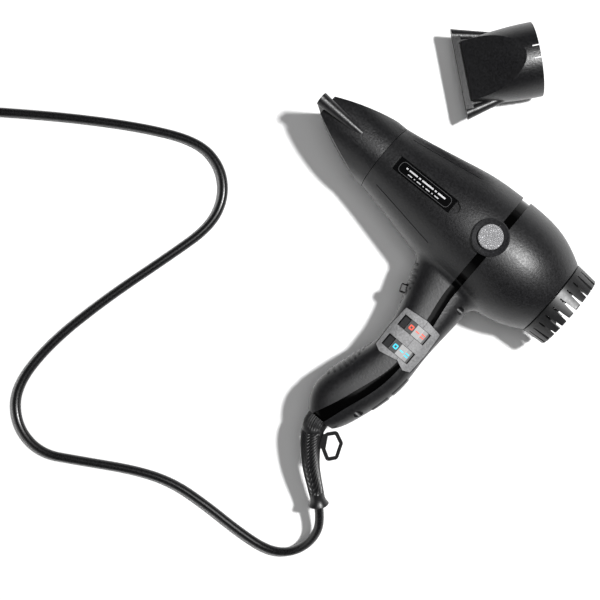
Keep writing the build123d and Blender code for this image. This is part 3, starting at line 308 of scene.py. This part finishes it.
def leather_cap():
    """Silver grey cap with a wrinkled, pebbled surface: cells whose borders are bent by noise, with painted
    shade in the creases between them.
    """
    material, tree, shader = new_material("boss_cap", (0.3, 0.3, 0.31), 0.42, metallic=0.2)
    cells = tree.nodes.new("ShaderNodeTexVoronoi")
    cells.feature = "DISTANCE_TO_EDGE"
    cells.inputs["Scale"].default_value = PEBBLE_SCALE
    wander = noise(tree, 500.0, 3.0)
    bend = tree.nodes.new("ShaderNodeVectorMath")
    bend.operation = "SCALE"
    bend.inputs["Scale"].default_value = PEBBLE_BEND
    tree.links.new(wander, bend.inputs[0])
    bent = tree.nodes.new("ShaderNodeVectorMath")
    bent.operation = "ADD"
    tree.links.new(object_coordinates(tree), bent.inputs[0])
    tree.links.new(bend.outputs[0], bent.inputs[1])
    tree.links.new(bent.outputs[0], cells.inputs["Vector"])
    height = mapped(tree, cells.outputs["Distance"], 0.0, 3.0)
    # Painted shade: the creases between the cells are coloured darker than the cell tops, by the same height
    # that drives the bump.
    tinted(tree, shader, height, (0.15, 0.15, 0.155), (0.40, 0.40, 0.41))
    bump(tree, shader, height, PEBBLE_DEPTH)
    return material


# Painted shade: the front facet's near-black tone and the dim tone of the first cell, whose faces slope away
# from the light; the two light tones are the rocker's own grey.
FACET_PAINTED_SHADE = (0.006, 0.006, 0.007, 1)
CELL_TONES_FIRST_SHADED = (0.055, 0.27, 0.27)
FIRST_LINE_TONE = (0.5, 0.5, 0.5, 1)            # fine lines between the cells
LINE_TONE = (0.36, 0.36, 0.36, 1)
LINE_WIDTH = 0.012                              # share of the rocker's length


def rocker_cells():
    """Rocker with painted shade on its front facet, a dimmer painted shade on its first cell and two light
    cells, told apart along its length.
    """
    material, tree, shader = new_material("rocker", (0.26, 0.26, 0.26), 0.4)
    along = tree.nodes.new("ShaderNodeSeparateXYZ")
    tree.links.new(object_coordinates(tree), along.inputs["Vector"])
    span = tree.nodes.new("ShaderNodeMapRange")
    span.inputs["From Min"].default_value = ROCKER_X + ROCKER_ENDS[0]
    span.inputs["From Max"].default_value = ROCKER_X + ROCKER_ENDS[1]
    tree.links.new(along.outputs["X"], span.inputs["Value"])
    ramp = tree.nodes.new("ShaderNodeValToRGB")
    ramp.color_ramp.interpolation = "CONSTANT"
    length = ROCKER_ENDS[1] - ROCKER_ENDS[0]
    places = [(edge - ROCKER_ENDS[0]) / length for edge in ROCKER_EDGES]
    # painted shade on the front facet
    ramp.color_ramp.elements[0].color = FACET_PAINTED_SHADE
    ramp.color_ramp.elements[1].position = places[0]
    ramp.color_ramp.elements[1].color = FIRST_LINE_TONE
    # the first cell's tone is a painted shade, the other cells have the rocker's own grey
    for place, tone in zip(places, CELL_TONES_FIRST_SHADED):
        if place != places[0]:
            ramp.color_ramp.elements.new(place).color = LINE_TONE
        ramp.color_ramp.elements.new(place + LINE_WIDTH).color = (tone, tone, tone, 1)
    tree.links.new(span.outputs["Result"], ramp.inputs["Fac"])
    tree.links.new(ramp.outputs["Color"], shader.inputs["Base Color"])
    bump(tree, shader, noise(tree, 1500.0, 2.0), 0.00004)
    return material


MATERIALS["boss_cap"] = leather_cap()
MATERIALS["rocker"] = rocker_cells()

for part in frame["record"]["subparts"]:
    node = nodes[part["node"]]
    node.data.materials.clear()
    node.data.materials.append(MATERIALS[part["material_slot"]])
nodes["hang_ring"].data.materials[0] = grained("ring_rubber", (0.003, 0.003, 0.0034), 0.45, specular=0.12)

# ---------------------------------------------------------------- helpers for pieces


def finish_piece(piece, slot, body="root", smooth=True):
    """Material picked by slot, shading and body of a new piece."""
    piece.data.materials.clear()
    piece.data.materials.append(MATERIALS[slot])
    if smooth and piece.type == "MESH":
        for face in piece.data.polygons:
            face.use_smooth = True
    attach(piece, body)
    return piece


def mesh_piece(name, vertices, faces):
    """A new mesh object in the scene."""
    data = bpy.data.meshes.new(name)
    data.from_pydata([tuple(v) for v in vertices], [], faces)
    data.update()
    piece = bpy.data.objects.new(name, data)
    bpy.context.scene.collection.objects.link(piece)
    return piece


def tube_curve(name, points, radius):
    """A round cord along a NURBS spline with these control points."""
    curve = bpy.data.curves.new(name, "CURVE")
    curve.dimensions = "3D"
    curve.bevel_depth = radius
    curve.bevel_resolution = 6
    curve.resolution_u = 10
    curve.use_fill_caps = True
    spline = curve.splines.new("NURBS")
    spline.points.add(len(points) - 1)
    for point, place in zip(spline.points, points):
        point.co = (*place, 1)
    spline.order_u = 3
    spline.use_endpoint_u = True
    piece = bpy.data.objects.new(name, curve)
    bpy.context.scene.collection.objects.link(piece)
    return piece


# ---------------------------------------------------------------- supply cord

COIL_CENTRE = Vector((-0.350, -0.221, 0.0))
COIL_TURN_R = (0.026, 0.0325, 0.039, 0.0455)
COIL_BASE_Z = 0.0012      # underside of the lower turns, which lie on the tie
COIL_ENTRY = Vector((-0.62, 0.785, 0)).normalized()         # from the centre to where the cord comes in
LOWER_Z = COIL_BASE_Z + CORD_D / 2
UPPER_Z = COIL_BASE_Z + CORD_D * 1.5
POINTS_PER_TURN = 16
CROSSING_START = 0.7      # share of a turn after which the cord moves over to the next one
TAIL_LENGTH = 0.028
TAIL_SHARES = (0.35, 0.7, 1.0)
RELIEF_EXIT = (0.0285, -0.217, 0.029)

CORD_ROUTE = [
    RELIEF_EXIT, (0.03796, -0.22618, 0.02427), (0.042, -0.2387, 0.0175), (0.0403, -0.2523, 0.011),
    (0.0332, -0.2636, 0.0062), (0.0205, -0.2708, 0.0038), (-0.003, -0.2735, FLOOR_Z),
    (-0.034, -0.2742, FLOOR_Z), (-0.062, -0.277, FLOOR_Z), (-0.088, -0.287, FLOOR_Z),
    (-0.126, -0.3095, FLOOR_Z), (-0.1505, -0.3235, FLOOR_Z), (-0.177, -0.319, FLOOR_Z),
    (-0.1955, -0.298, FLOOR_Z), (-0.197, -0.258, FLOOR_Z), (-0.187, -0.207, FLOOR_Z),
    (-0.171, -0.151, FLOOR_Z), (-0.162, -0.116, FLOOR_Z), (-0.168, -0.0925, FLOOR_Z),
    (-0.185, -0.077, FLOOR_Z), (-0.209, -0.074, FLOOR_Z), (-0.245, -0.091, FLOOR_Z),
    (-0.291, -0.120, FLOOR_Z), (-0.338, -0.1536, FLOOR_Z),
]


def coil_points():
    """Control points of the coil: inwards along the floor, up, and outwards again on top.

    Each turn is round for most of its way, and crosses to the next one over the rest."""
    points = []
    across = COIL_ENTRY.cross(Vector((0, 0, -1)))
    stretch = 1 / math.cos(math.pi / POINTS_PER_TURN)
    inwards = list(reversed(COIL_TURN_R))
    turns = [(radius, LOWER_Z) for radius in inwards] + [(radius, UPPER_Z) for radius in COIL_TURN_R]
    for number, (radius, height) in enumerate(turns):
        next_radius, next_height = turns[min(number + 1, len(turns) - 1)]
        for step in range(POINTS_PER_TURN):
            share = max(0.0, (step / POINTS_PER_TURN - CROSSING_START) / (1 - CROSSING_START))
            here = radius + (next_radius - radius) * share
            level = height + (next_height - height) * share
            turn = 2 * math.pi * step / POINTS_PER_TURN
            place = COIL_CENTRE + (COIL_ENTRY * math.cos(turn) + across * math.sin(turn)) * here * stretch
            points.append((place.x, place.y, level))
    end = COIL_CENTRE + COIL_ENTRY * COIL_TURN_R[-1] * stretch
    points.append((end.x, end.y, UPPER_Z))
    return points


def make_cord():
    """The whole cord: its route on the floor, the coil and the straight tail into the plug."""
    tail_way = COIL_ENTRY.cross(Vector((0, 0, -1)))
    start = COIL_CENTRE + COIL_ENTRY * COIL_TURN_R[-1] + Vector((0, 0, UPPER_Z))
    tail = [tuple(start + tail_way * TAIL_LENGTH * share) for share in TAIL_SHARES]
    return tube_curve("supply_cord", CORD_ROUTE + coil_points() + tail, CORD_D / 2)


cord = make_cord()
finish_piece(cord, "cord")
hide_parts("cord_tube", "cord_coil", "cord_tail")

# ---------------------------------------------------------------- pieces that follow the casing

FRONT_SURFACE = BVHTree.FromObject(nodes["front_shell"], bpy.context.evaluated_depsgraph_get())
REAR_SURFACE = BVHTree.FromObject(nodes["rear_shell"], bpy.context.evaluated_depsgraph_get())
REACH = 0.08              # how far outside the casing a search for its surface starts


def on_handle(surface, centre_x, y, turn, slant):
    """Point and outward normal of the handle at a turn about its length, 0 towards the front edge."""
    outwards = Vector((-math.cos(turn), 0, math.sin(turn)))
    centre = Vector((centre_x, y + slant, AXIS_Z))
    hit, normal, _, _ = surface.ray_cast(centre + outwards * REACH, -outwards, REACH)
    if hit is None:
        return centre, outwards
    return hit, normal


def closed_pad(name, rows, depth):
    """Closed patch from rows of (point, normal, height): a raised top and a floor sunk by depth."""
    count = len(rows[0])
    top = [point + normal * height for row in rows for point, normal, height in row]
    floor = [point - normal * depth for row in rows for point, normal, height in row]
    faces = []
    under = len(top)
    for i in range(len(rows) - 1):
        for j in range(count - 1):
            a, b, c, d = i * count + j, i * count + j + 1, (i + 1) * count + j + 1, (i + 1) * count + j
            faces.append((a, b, c, d))
            faces.append((under + d, under + c, under + b, under + a))
    edge = list(range(count)) + [(i + 1) * count - 1 for i in range(1, len(rows))]
    edge += [len(top) - 1 - j for j in range(1, count)] + [i * count for i in range(len(rows) - 2, 0, -1)]
    for here, after in zip(edge, edge[1:] + edge[:1]):
        faces.append((after, here, under + here, under + after))
    piece = mesh_piece(name, top + floor, faces)
    fix_normals(piece)
    return piece


def fix_normals(piece):
    """Faces of a closed mesh all turned outwards."""
    shape = bmesh.new()
    shape.from_mesh(piece.data)
    bmesh.ops.recalc_face_normals(shape, faces=shape.faces)
    shape.to_mesh(piece.data)
    shape.free()


RIB_HEIGHT = 0.0009
RIB_ROOT = 0.0001         # how far its edges lie inside the handle
RIB_SINK = 0.0004         # how far its floor lies inside the handle
RIB_STEPS = 26
RIB_ACROSS = 9
RIB_LEAST_WIDTH = 0.35    # width of a rib at its ends, as a share of its width in the middle


def grip_rib(name, centre_x, y, width, reach, slant):
    """One rounded rib round the front edge of the handle, from one side to the other."""
    rows = []
    for i in range(RIB_STEPS + 1):
        turn = reach * (2 * i / RIB_STEPS - 1)
        fade = max(0.0, math.sin(math.pi * i / RIB_STEPS)) ** 0.5
        row = []
        for j in range(RIB_ACROSS):
            across = 2 * j / (RIB_ACROSS - 1) - 1
            shift = slant * abs(turn) / reach
            place = y + across * width / 2 * (RIB_LEAST_WIDTH + (1 - RIB_LEAST_WIDTH) * fade)
            point, normal = on_handle(FRONT_SURFACE, centre_x, place, turn, shift)
            height = RIB_HEIGHT * fade * max(0.0, 1 - across * across) ** 0.5 - RIB_ROOT
            row.append((point, normal, height))
        rows.append(row)
    return finish_piece(closed_pad(name, rows, RIB_SINK), "casing")


RIB_PITCH = 0.0040
RIB_WIDTH = RIB_PITCH * 0.94
# first rib's Y, count, X of the handle's middle there, least and most reach in degrees, slant of the ends
GRIPS = (("upper_rib", -0.0452, 7, -0.006, 24, 46, 0.0025),
         ("lower_rib", -0.1062, 9, -0.004, 22, 50, -0.0020))


def make_grips():
    """Two groups of ribs; the ribs in the middle of a group reach further over the handle's sides."""
    for name, first_y, count, centre_x, least, most, slant in GRIPS:
        for k in range(count):
            share = math.sin(math.pi * (k + 0.5) / count)
            reach = math.radians(least + (most - least) * share)
            y = first_y - RIB_PITCH * k
            grip_rib(f"{name}_{k + 1}", centre_x, y, RIB_WIDTH, reach, slant)


PAD_HEIGHT = 0.0006
PAD_ROOT = 0.00005        # how far its edges lie inside the handle
PAD_SINK = 0.0003
PAD_REACH = math.radians(30)        # to each side of the handle's rear edge
PAD_STEPS_Y = 24
PAD_STEPS_TURN = 12


def rear_pad(name, start_y, end_y):
    """Low raised pad on the rear edge of the handle."""
    rows = []
    for i in range(PAD_STEPS_Y + 1):
        y = start_y + (end_y - start_y) * i / PAD_STEPS_Y
        row = []
        for j in range(PAD_STEPS_TURN + 1):
            turn = math.pi + PAD_REACH * (2 * j / PAD_STEPS_TURN - 1)
            point, normal = on_handle(REAR_SURFACE, 0.0, y, turn, 0.0)
            border = min(i, PAD_STEPS_Y - i, j, PAD_STEPS_TURN - j)
            row.append((point, normal, PAD_HEIGHT if border else -PAD_ROOT))
        rows.append(row)
    return finish_piece(closed_pad(name, rows, PAD_SINK), "casing", smooth=False)


make_grips()
rear_pad("rear_pad_upper", -0.1075, -0.1235)
rear_pad("rear_pad_lower", -0.1262, -0.1405)

# ---------------------------------------------------------------- strain relief

# middle line of the relief, its direction at each point, and its radius in mm along it
RELIEF_POINTS = [Vector(p) for p in ((-0.0106, -0.1682, 0.044), (-0.0068, -0.181, 0.0432),
                                     (0.0055, -0.197, 0.0385), RELIEF_EXIT)]
RELIEF_WAYS = [Vector((0, -0.0135, 0)), Vector((0.0085, -0.0148, -0.0026)),
               Vector((0.0165, -0.0185, -0.0078)), Vector((0.0206, -0.0200, -0.0103))]
RELIEF_RADII = ((0.0, 8.4), (0.12, 8.4), (0.3, 7.9), (0.5, 7.0), (0.72, 6.1), (0.93, 5.3), (1.0, 5.3))
FLUTES = 32
FLUTE_END = 0.24          # share of the length that has straight flutes
FLUTE_FADE = 0.05         # share over which they run out
CHEVRONS_START = 0.27
CHEVRONS_END = 0.91
CHEVRONS_RISE = 0.03      # shares over which the slanted ribs start and end
CHEVRONS_FALL = 0.02
CHEVRON_PITCH = 0.0027
CHEVRON_RISE = 0.0058     # how far a rib runs along the relief per radian round it
CHEVRON_DEPTH = 0.0015
RIDGE_TURN = math.radians(70)       # where the ribs of the two sides meet
RIDGE_WIDTH = 0.25        # radians over which the ribs fade beside that ridge
FLUTE_DEPTH = 0.0008
FLARE_START = 0.94        # share of the length where the end flares out
FLARE_R = 0.0074
RELIEF_LENGTH = 0.068
RELIEF_STEPS = 220
RELIEF_SIDES = 120
NECK_R = 0.0062           # the part inside the handle
NECK_LENGTH = 0.0088
END_BEVEL = 0.93          # radius of the end face, as a share of the flare
END_FACE = 0.0006         # how far that face stands past the end of the line
DIMPLE_R = 0.0034         # dimple round the cord, in the middle of that face
DIMPLE_FACE = 0.0002


def relief_line(share):
    """Point and direction of the strain relief's middle line, by cubic pieces between its points."""
    spans = len(RELIEF_POINTS) - 1
    k = min(int(share * spans), spans - 1)
    t = share * spans - k
    p, q = RELIEF_POINTS[k], RELIEF_POINTS[k + 1]
    m, n = RELIEF_WAYS[k], RELIEF_WAYS[k + 1]
    place = (p * (2 * t ** 3 - 3 * t ** 2 + 1) + m * (t ** 3 - 2 * t ** 2 + t)
             + q * (3 * t ** 2 - 2 * t ** 3) + n * (t ** 3 - t ** 2))
    way = (p * (6 * t * t - 6 * t) + m * (3 * t * t - 4 * t + 1)
           + q * (6 * t - 6 * t * t) + n * (3 * t * t - 2 * t))
    return place, way.normalized()


def stepped(table, share):
    """Value of a table of (share, value), in straight steps between its rows."""
    for (a, low), (b, high) in zip(table, table[1:]):
        if share <= b:
            return low + (high - low) * (share - a) / (b - a)
    return table[-1][1]


def relief_radius(share, turn):
    """Radius with flutes near the handle, slanted ribs along the middle and a flare at the end."""
    radius = stepped(RELIEF_RADII, share) * MM
    if share < FLUTE_END:
        fade = min(1.0, (FLUTE_END - share) / FLUTE_FADE)
        radius -= FLUTE_DEPTH * fade * max(0.0, math.cos(FLUTES * turn))
    elif CHEVRONS_START < share < CHEVRONS_END:
        fade = min(1.0, (share - CHEVRONS_START) / CHEVRONS_RISE, (CHEVRONS_END - share) / CHEVRONS_FALL)
        # the ribs meet at one ridge on top and at another underneath
        from_ridge = math.acos(math.cos(turn - RIDGE_TURN))
        off_ridge = min(1.0, from_ridge / RIDGE_WIDTH, (math.pi - from_ridge) / RIDGE_WIDTH)
        along = share * RELIEF_LENGTH + from_ridge * CHEVRON_RISE
        wave = math.cos(2 * math.pi * along / CHEVRON_PITCH)
        radius -= CHEVRON_DEPTH * fade * off_ridge * (0.5 + 0.5 * wave)
    elif share > FLARE_START:
        rise = (share - FLARE_START) / (1 - FLARE_START)
        radius += (FLARE_R - radius) * rise ** 2
    return radius


def make_strain_relief():
    """Rubber relief, swept along its line, closed over the cord at its end and over its neck."""
    rings = []
    start_way = Vector((0, -1, 0))
    up = Vector((0, 0, 1))
    neck_start = RELIEF_POINTS[0] - start_way * NECK_LENGTH
    profile = [(neck_start, start_way, None), (RELIEF_POINTS[0], start_way, None)]
    for i in range(RELIEF_STEPS + 1):
        profile.append((*relief_line(i / RELIEF_STEPS), i / RELIEF_STEPS))
    for place, way, share in profile:
        side = way.cross(up).normalized()
        above = side.cross(way).normalized()
        ring = []
        for k in range(RELIEF_SIDES):
            turn = 2 * math.pi * k / RELIEF_SIDES
            radius = NECK_R if share is None else relief_radius(share, turn)
            ring.append(place + (side * math.cos(turn) + above * math.sin(turn)) * radius)
        rings.append(ring)
    place, way, _ = profile[-1]
    rings.append([place + (point - place) * END_BEVEL + way * END_FACE for point in rings[-1]])
    dimple_share = DIMPLE_R / FLARE_R
    rings.append([place + (point - place) * dimple_share + way * DIMPLE_FACE for point in rings[-2]])
    vertices = [point for ring in rings for point in ring]
    faces = []
    for i in range(len(rings) - 1):
        for k in range(RELIEF_SIDES):
            after = (k + 1) % RELIEF_SIDES
            faces.append((i * RELIEF_SIDES + k, i * RELIEF_SIDES + after,
                          (i + 1) * RELIEF_SIDES + after, (i + 1) * RELIEF_SIDES + k))
    faces.append(tuple(range(RELIEF_SIDES)))
    last = (len(rings) - 1) * RELIEF_SIDES
    faces.append(tuple(last + k for k in range(RELIEF_SIDES - 1, -1, -1)))
    piece = mesh_piece("ribbed_relief", vertices, faces)
    fix_normals(piece)
    finish_piece(piece, "relief")
    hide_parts("strain_relief")


make_strain_relief()

# ---------------------------------------------------------------- print on the rockers and the label


def plate_between(name, outline, plane, thickness, hole=None):
    """Flat closed plate from an outline, standing on a plane (origin, x, y, normal), with a hole or not."""
    origin, along, across, normal = plane

    def lifted(points, height):
        return [origin + along * x + across * y + normal * height for x, y in points]

    count = len(outline)
    if hole is None:
        vertices = lifted(outline, 0) + lifted(outline, thickness)
        faces = [tuple(range(count - 1, -1, -1)), tuple(range(count, 2 * count))]
        faces += [(k, (k + 1) % count, count + (k + 1) % count, count + k) for k in range(count)]
    else:
        vertices = lifted(outline, 0) + lifted(outline, thickness) + lifted(hole, 0) + lifted(hole, thickness)
        faces = []
        for k in range(count):
            n = (k + 1) % count
            faces.append((k, n, count + n, count + k))
            faces.append((2 * count + n, 2 * count + k, 3 * count + k, 3 * count + n))
            faces.append((count + k, count + n, 3 * count + n, 3 * count + k))
            faces.append((n, k, 2 * count + k, 2 * count + n))
    piece = mesh_piece(name, vertices, faces)
    fix_normals(piece)
    return piece


def rounded(half_x, half_y, radius, centre=(0.0, 0.0), corner=6):
    """Outline of a rectangle with round corners."""
    points = []
    for quarter, (sx, sy) in enumerate(((1, 1), (-1, 1), (-1, -1), (1, -1))):
        for step in range(corner + 1):
            turn = math.pi / 2 * (quarter + step / corner)
            points.append((centre[0] + sx * (half_x - radius) + radius * math.cos(turn),
                           centre[1] + sy * (half_y - radius) + radius * math.sin(turn)))
    return points


def printed(piece, material, slot, body):
    """A print in a colour of its own, on the piece that has this slot and body."""
    finish_piece(piece, slot, body, smooth=False)
    piece.data.materials[0] = material


PRINT_HEIGHT = 0.00012
# cell: middle along the rocker, height over the pin, slope
CELLS = {
    "off": (-0.0024, 0.00674, 1.0 / 5.4),
    "one": (0.0029, 0.0072, 0.0),
    "two": (0.0073, 0.00658, -1.2 / 3.7),
}


def cell_plane(rocker, cell):
    """Origin, two directions and normal of a cell's face."""
    middle, height, slope = CELLS[cell]
    along = Vector((1, 0, slope)).normalized()
    origin = Vector((ROCKER_X + middle, ROCKER_Y[rocker], ROCKER_Z + height))
    return origin, along, Vector((0, 1, 0)), along.cross(Vector((0, 1, 0)))


# half length, half width and corner radius of each mark
ZERO = (0.0017, 0.0017, 0.0007)
ZERO_HOLE = (0.0008, 0.0008, 0.0003)
ONE = (0.0015, 0.00045, 0.0002)
TWO = (0.0016, 0.00045, 0.0002)
TWO_PLACES = (0.001, -0.001)


def make_legends():
    """0, I and II on both rockers."""
    for rocker, material in (("heat_rocker", PRINT_RED), ("speed_rocker", PRINT_CYAN)):
        ring = plate_between(f"{rocker}_print_0", rounded(*ZERO), cell_plane(rocker, "off"),
                             PRINT_HEIGHT, hole=rounded(*ZERO_HOLE))
        bar = plate_between(f"{rocker}_print_1", rounded(*ONE), cell_plane(rocker, "one"), PRINT_HEIGHT)
        pieces = [ring, bar]
        for number, y in enumerate(TWO_PLACES):
            pieces.append(plate_between(f"{rocker}_print_2_{number + 1}", rounded(*TWO, (0.0, y)),
                                        cell_plane(rocker, "two"), PRINT_HEIGHT))
        for piece in pieces:
            printed(piece, material, "rocker", rocker)


LABEL_SLOPE = 0.205       # the plate rises towards the rear of the barrel
LABEL_DEPTH = 0.00064     # of the plate's face under the line of the casing
LABEL_ALONG = Vector((1, 0, LABEL_SLOPE)).normalized()
LABEL_OUT = LABEL_ALONG.cross(Vector((0, 1, 0)))
LABEL_MIDDLE = Vector((-0.0567, 0, 0.07582)) - LABEL_OUT * LABEL_DEPTH
LABEL_PLANE = (LABEL_MIDDLE, LABEL_ALONG, Vector((0, 1, 0)), LABEL_OUT)
# rows of plain marks: distance across the plate, half height, gap, lengths
LABEL_ROWS = ((0.0009, 0.00055, 0.0012, (0.0016, 0.0072, 0.0016, 0.0100, 0.0016, 0.0064)),
              (-0.0019, 0.00032, 0.0016, (0.0036, 0.0010, 0.0036, 0.0010, 0.0036, 0.0010, 0.0036)))


OUTLINE = (0.0220, 0.0040, 0.0030)
OUTLINE_WIDTH = 0.00025
MARK_ROUNDING = 0.6       # corner radius of a mark, as a share of its half height


def make_label_print():
    """Thin outline and two rows of plain dashes, with no lettering."""
    outline = plate_between("label_outline", rounded(*OUTLINE), LABEL_PLANE, PRINT_HEIGHT,
                            hole=rounded(*[value - OUTLINE_WIDTH for value in OUTLINE]))
    printed(outline, PRINT_DIM, "label", "root")
    for row, (y, half_height, gap, lengths) in enumerate(LABEL_ROWS):
        x = -(sum(lengths) + gap * (len(lengths) - 1)) / 2
        for k, length in enumerate(lengths):
            mark = rounded(length / 2, half_height, half_height * MARK_ROUNDING, (x + length / 2, y))
            piece = plate_between(f"label_mark_{row + 1}_{k + 1}", mark, LABEL_PLANE, PRINT_HEIGHT)
            printed(piece, PRINT_PALE, "label", "root")
            x += length + gap


make_legends()
make_label_print()

# ---------------------------------------------------------------- woven intake screen and heater wire

SCREEN_X = 0.0644
SCREEN_R = 0.0238
SCREEN_PITCH = 0.0017     # from wire to wire
WIRE_R = 0.00016
RIM_R = SCREEN_R + 0.0002
RIM_WIRE_R = 0.0005
RIM_STEPS = 96


def wire_set(name, lines, radius, slot, body, sides, cyclic=False):
    """Thin wires as one mesh, from lists of points."""
    curve = bpy.data.curves.new(name + "_line", "CURVE")
    curve.dimensions = "3D"
    curve.bevel_depth = radius
    curve.bevel_resolution = sides
    curve.use_fill_caps = True
    for points in lines:
        spline = curve.splines.new("POLY")
        spline.points.add(len(points) - 1)
        for point, place in zip(spline.points, points):
            point.co = (*place, 1)
        spline.use_cyclic_u = cyclic
    holder = bpy.data.objects.new(name + "_line", curve)
    data = bpy.data.meshes.new_from_object(holder)
    data.name = name
    piece = bpy.data.objects.new(name, data)
    bpy.context.scene.collection.objects.link(piece)
    bpy.data.objects.remove(holder)
    return finish_piece(piece, slot, body)


def make_screen():
    """Plain weave of thin wires across the intake, inside its rim."""
    lines = []
    count = int(SCREEN_R / SCREEN_PITCH)
    for direction in (0, 1):
        for k in range(-count, count + 1):
            offset = k * SCREEN_PITCH
            half = math.sqrt(SCREEN_R ** 2 - offset ** 2)
            steps = max(4, int(2 * half / (SCREEN_PITCH / 2)))
            line = []
            for i in range(steps + 1):
                u = -half + 2 * half * i / steps
                weave = WIRE_R * math.cos(math.pi * (u / SCREEN_PITCH + k + direction))
                y, z = (u, offset) if direction == 0 else (offset, u)
                line.append((SCREEN_X + weave, y, AXIS_Z + z))
            lines.append(line)
    wires = wire_set("intake_weave", lines, WIRE_R, "mesh_steel", "intake_cap", sides=0)
    turns = [2 * math.pi * i / RIM_STEPS for i in range(RIM_STEPS)]
    rim = [(SCREEN_X, RIM_R * math.cos(turn), AXIS_Z + RIM_R * math.sin(turn)) for turn in turns]
    wire_set("intake_weave_rim", [rim], RIM_WIRE_R, "mesh_steel", "intake_cap", sides=3, cyclic=True)
    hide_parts("filter_mesh")


HEATER_R = 0.0152
HEATER_TURN_R = 0.0011    # of the wire's own turns
HEATER_TURNS = 46
HEATER_TURN_STEPS = 10
HEATER_RINGS = 8
HEATER_WIRE_R = 0.00022


def make_heater():
    """Each heating coil as a fine wire wound round its ring."""
    low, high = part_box("heating_coils")
    first = low.x + HEATER_TURN_R
    last = high.x - HEATER_TURN_R
    steps = HEATER_TURNS * HEATER_TURN_STEPS
    lines = []
    for ring in range(HEATER_RINGS):
        x = first + (last - first) * ring / (HEATER_RINGS - 1)
        line = []
        for i in range(steps):
            turn = 2 * math.pi * i / steps
            wind = turn * HEATER_TURNS
            radius = HEATER_R + HEATER_TURN_R * math.cos(wind)
            line.append((x + HEATER_TURN_R * math.sin(wind),
                         radius * math.cos(turn), AXIS_Z + radius * math.sin(turn)))
        lines.append(line)
    wires = wire_set("heater_winding", lines, HEATER_WIRE_R, "heater_wire", "root", sides=0, cyclic=True)
    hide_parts("heating_coils")


make_screen()
make_heater()

# ---------------------------------------------------------------- floor

FLOOR_HALF = 3
floor_corners = [(x * FLOOR_HALF, y * FLOOR_HALF, 0) for x, y in ((-1, -1), (1, -1), (1, 1), (-1, 1))]
floor = mesh_piece("floor", floor_corners, [(0, 1, 2, 3)])
floor.data.materials.append(new_material("floor", (0.93, 0.93, 0.93), 0.9, specular=0.1)[0])
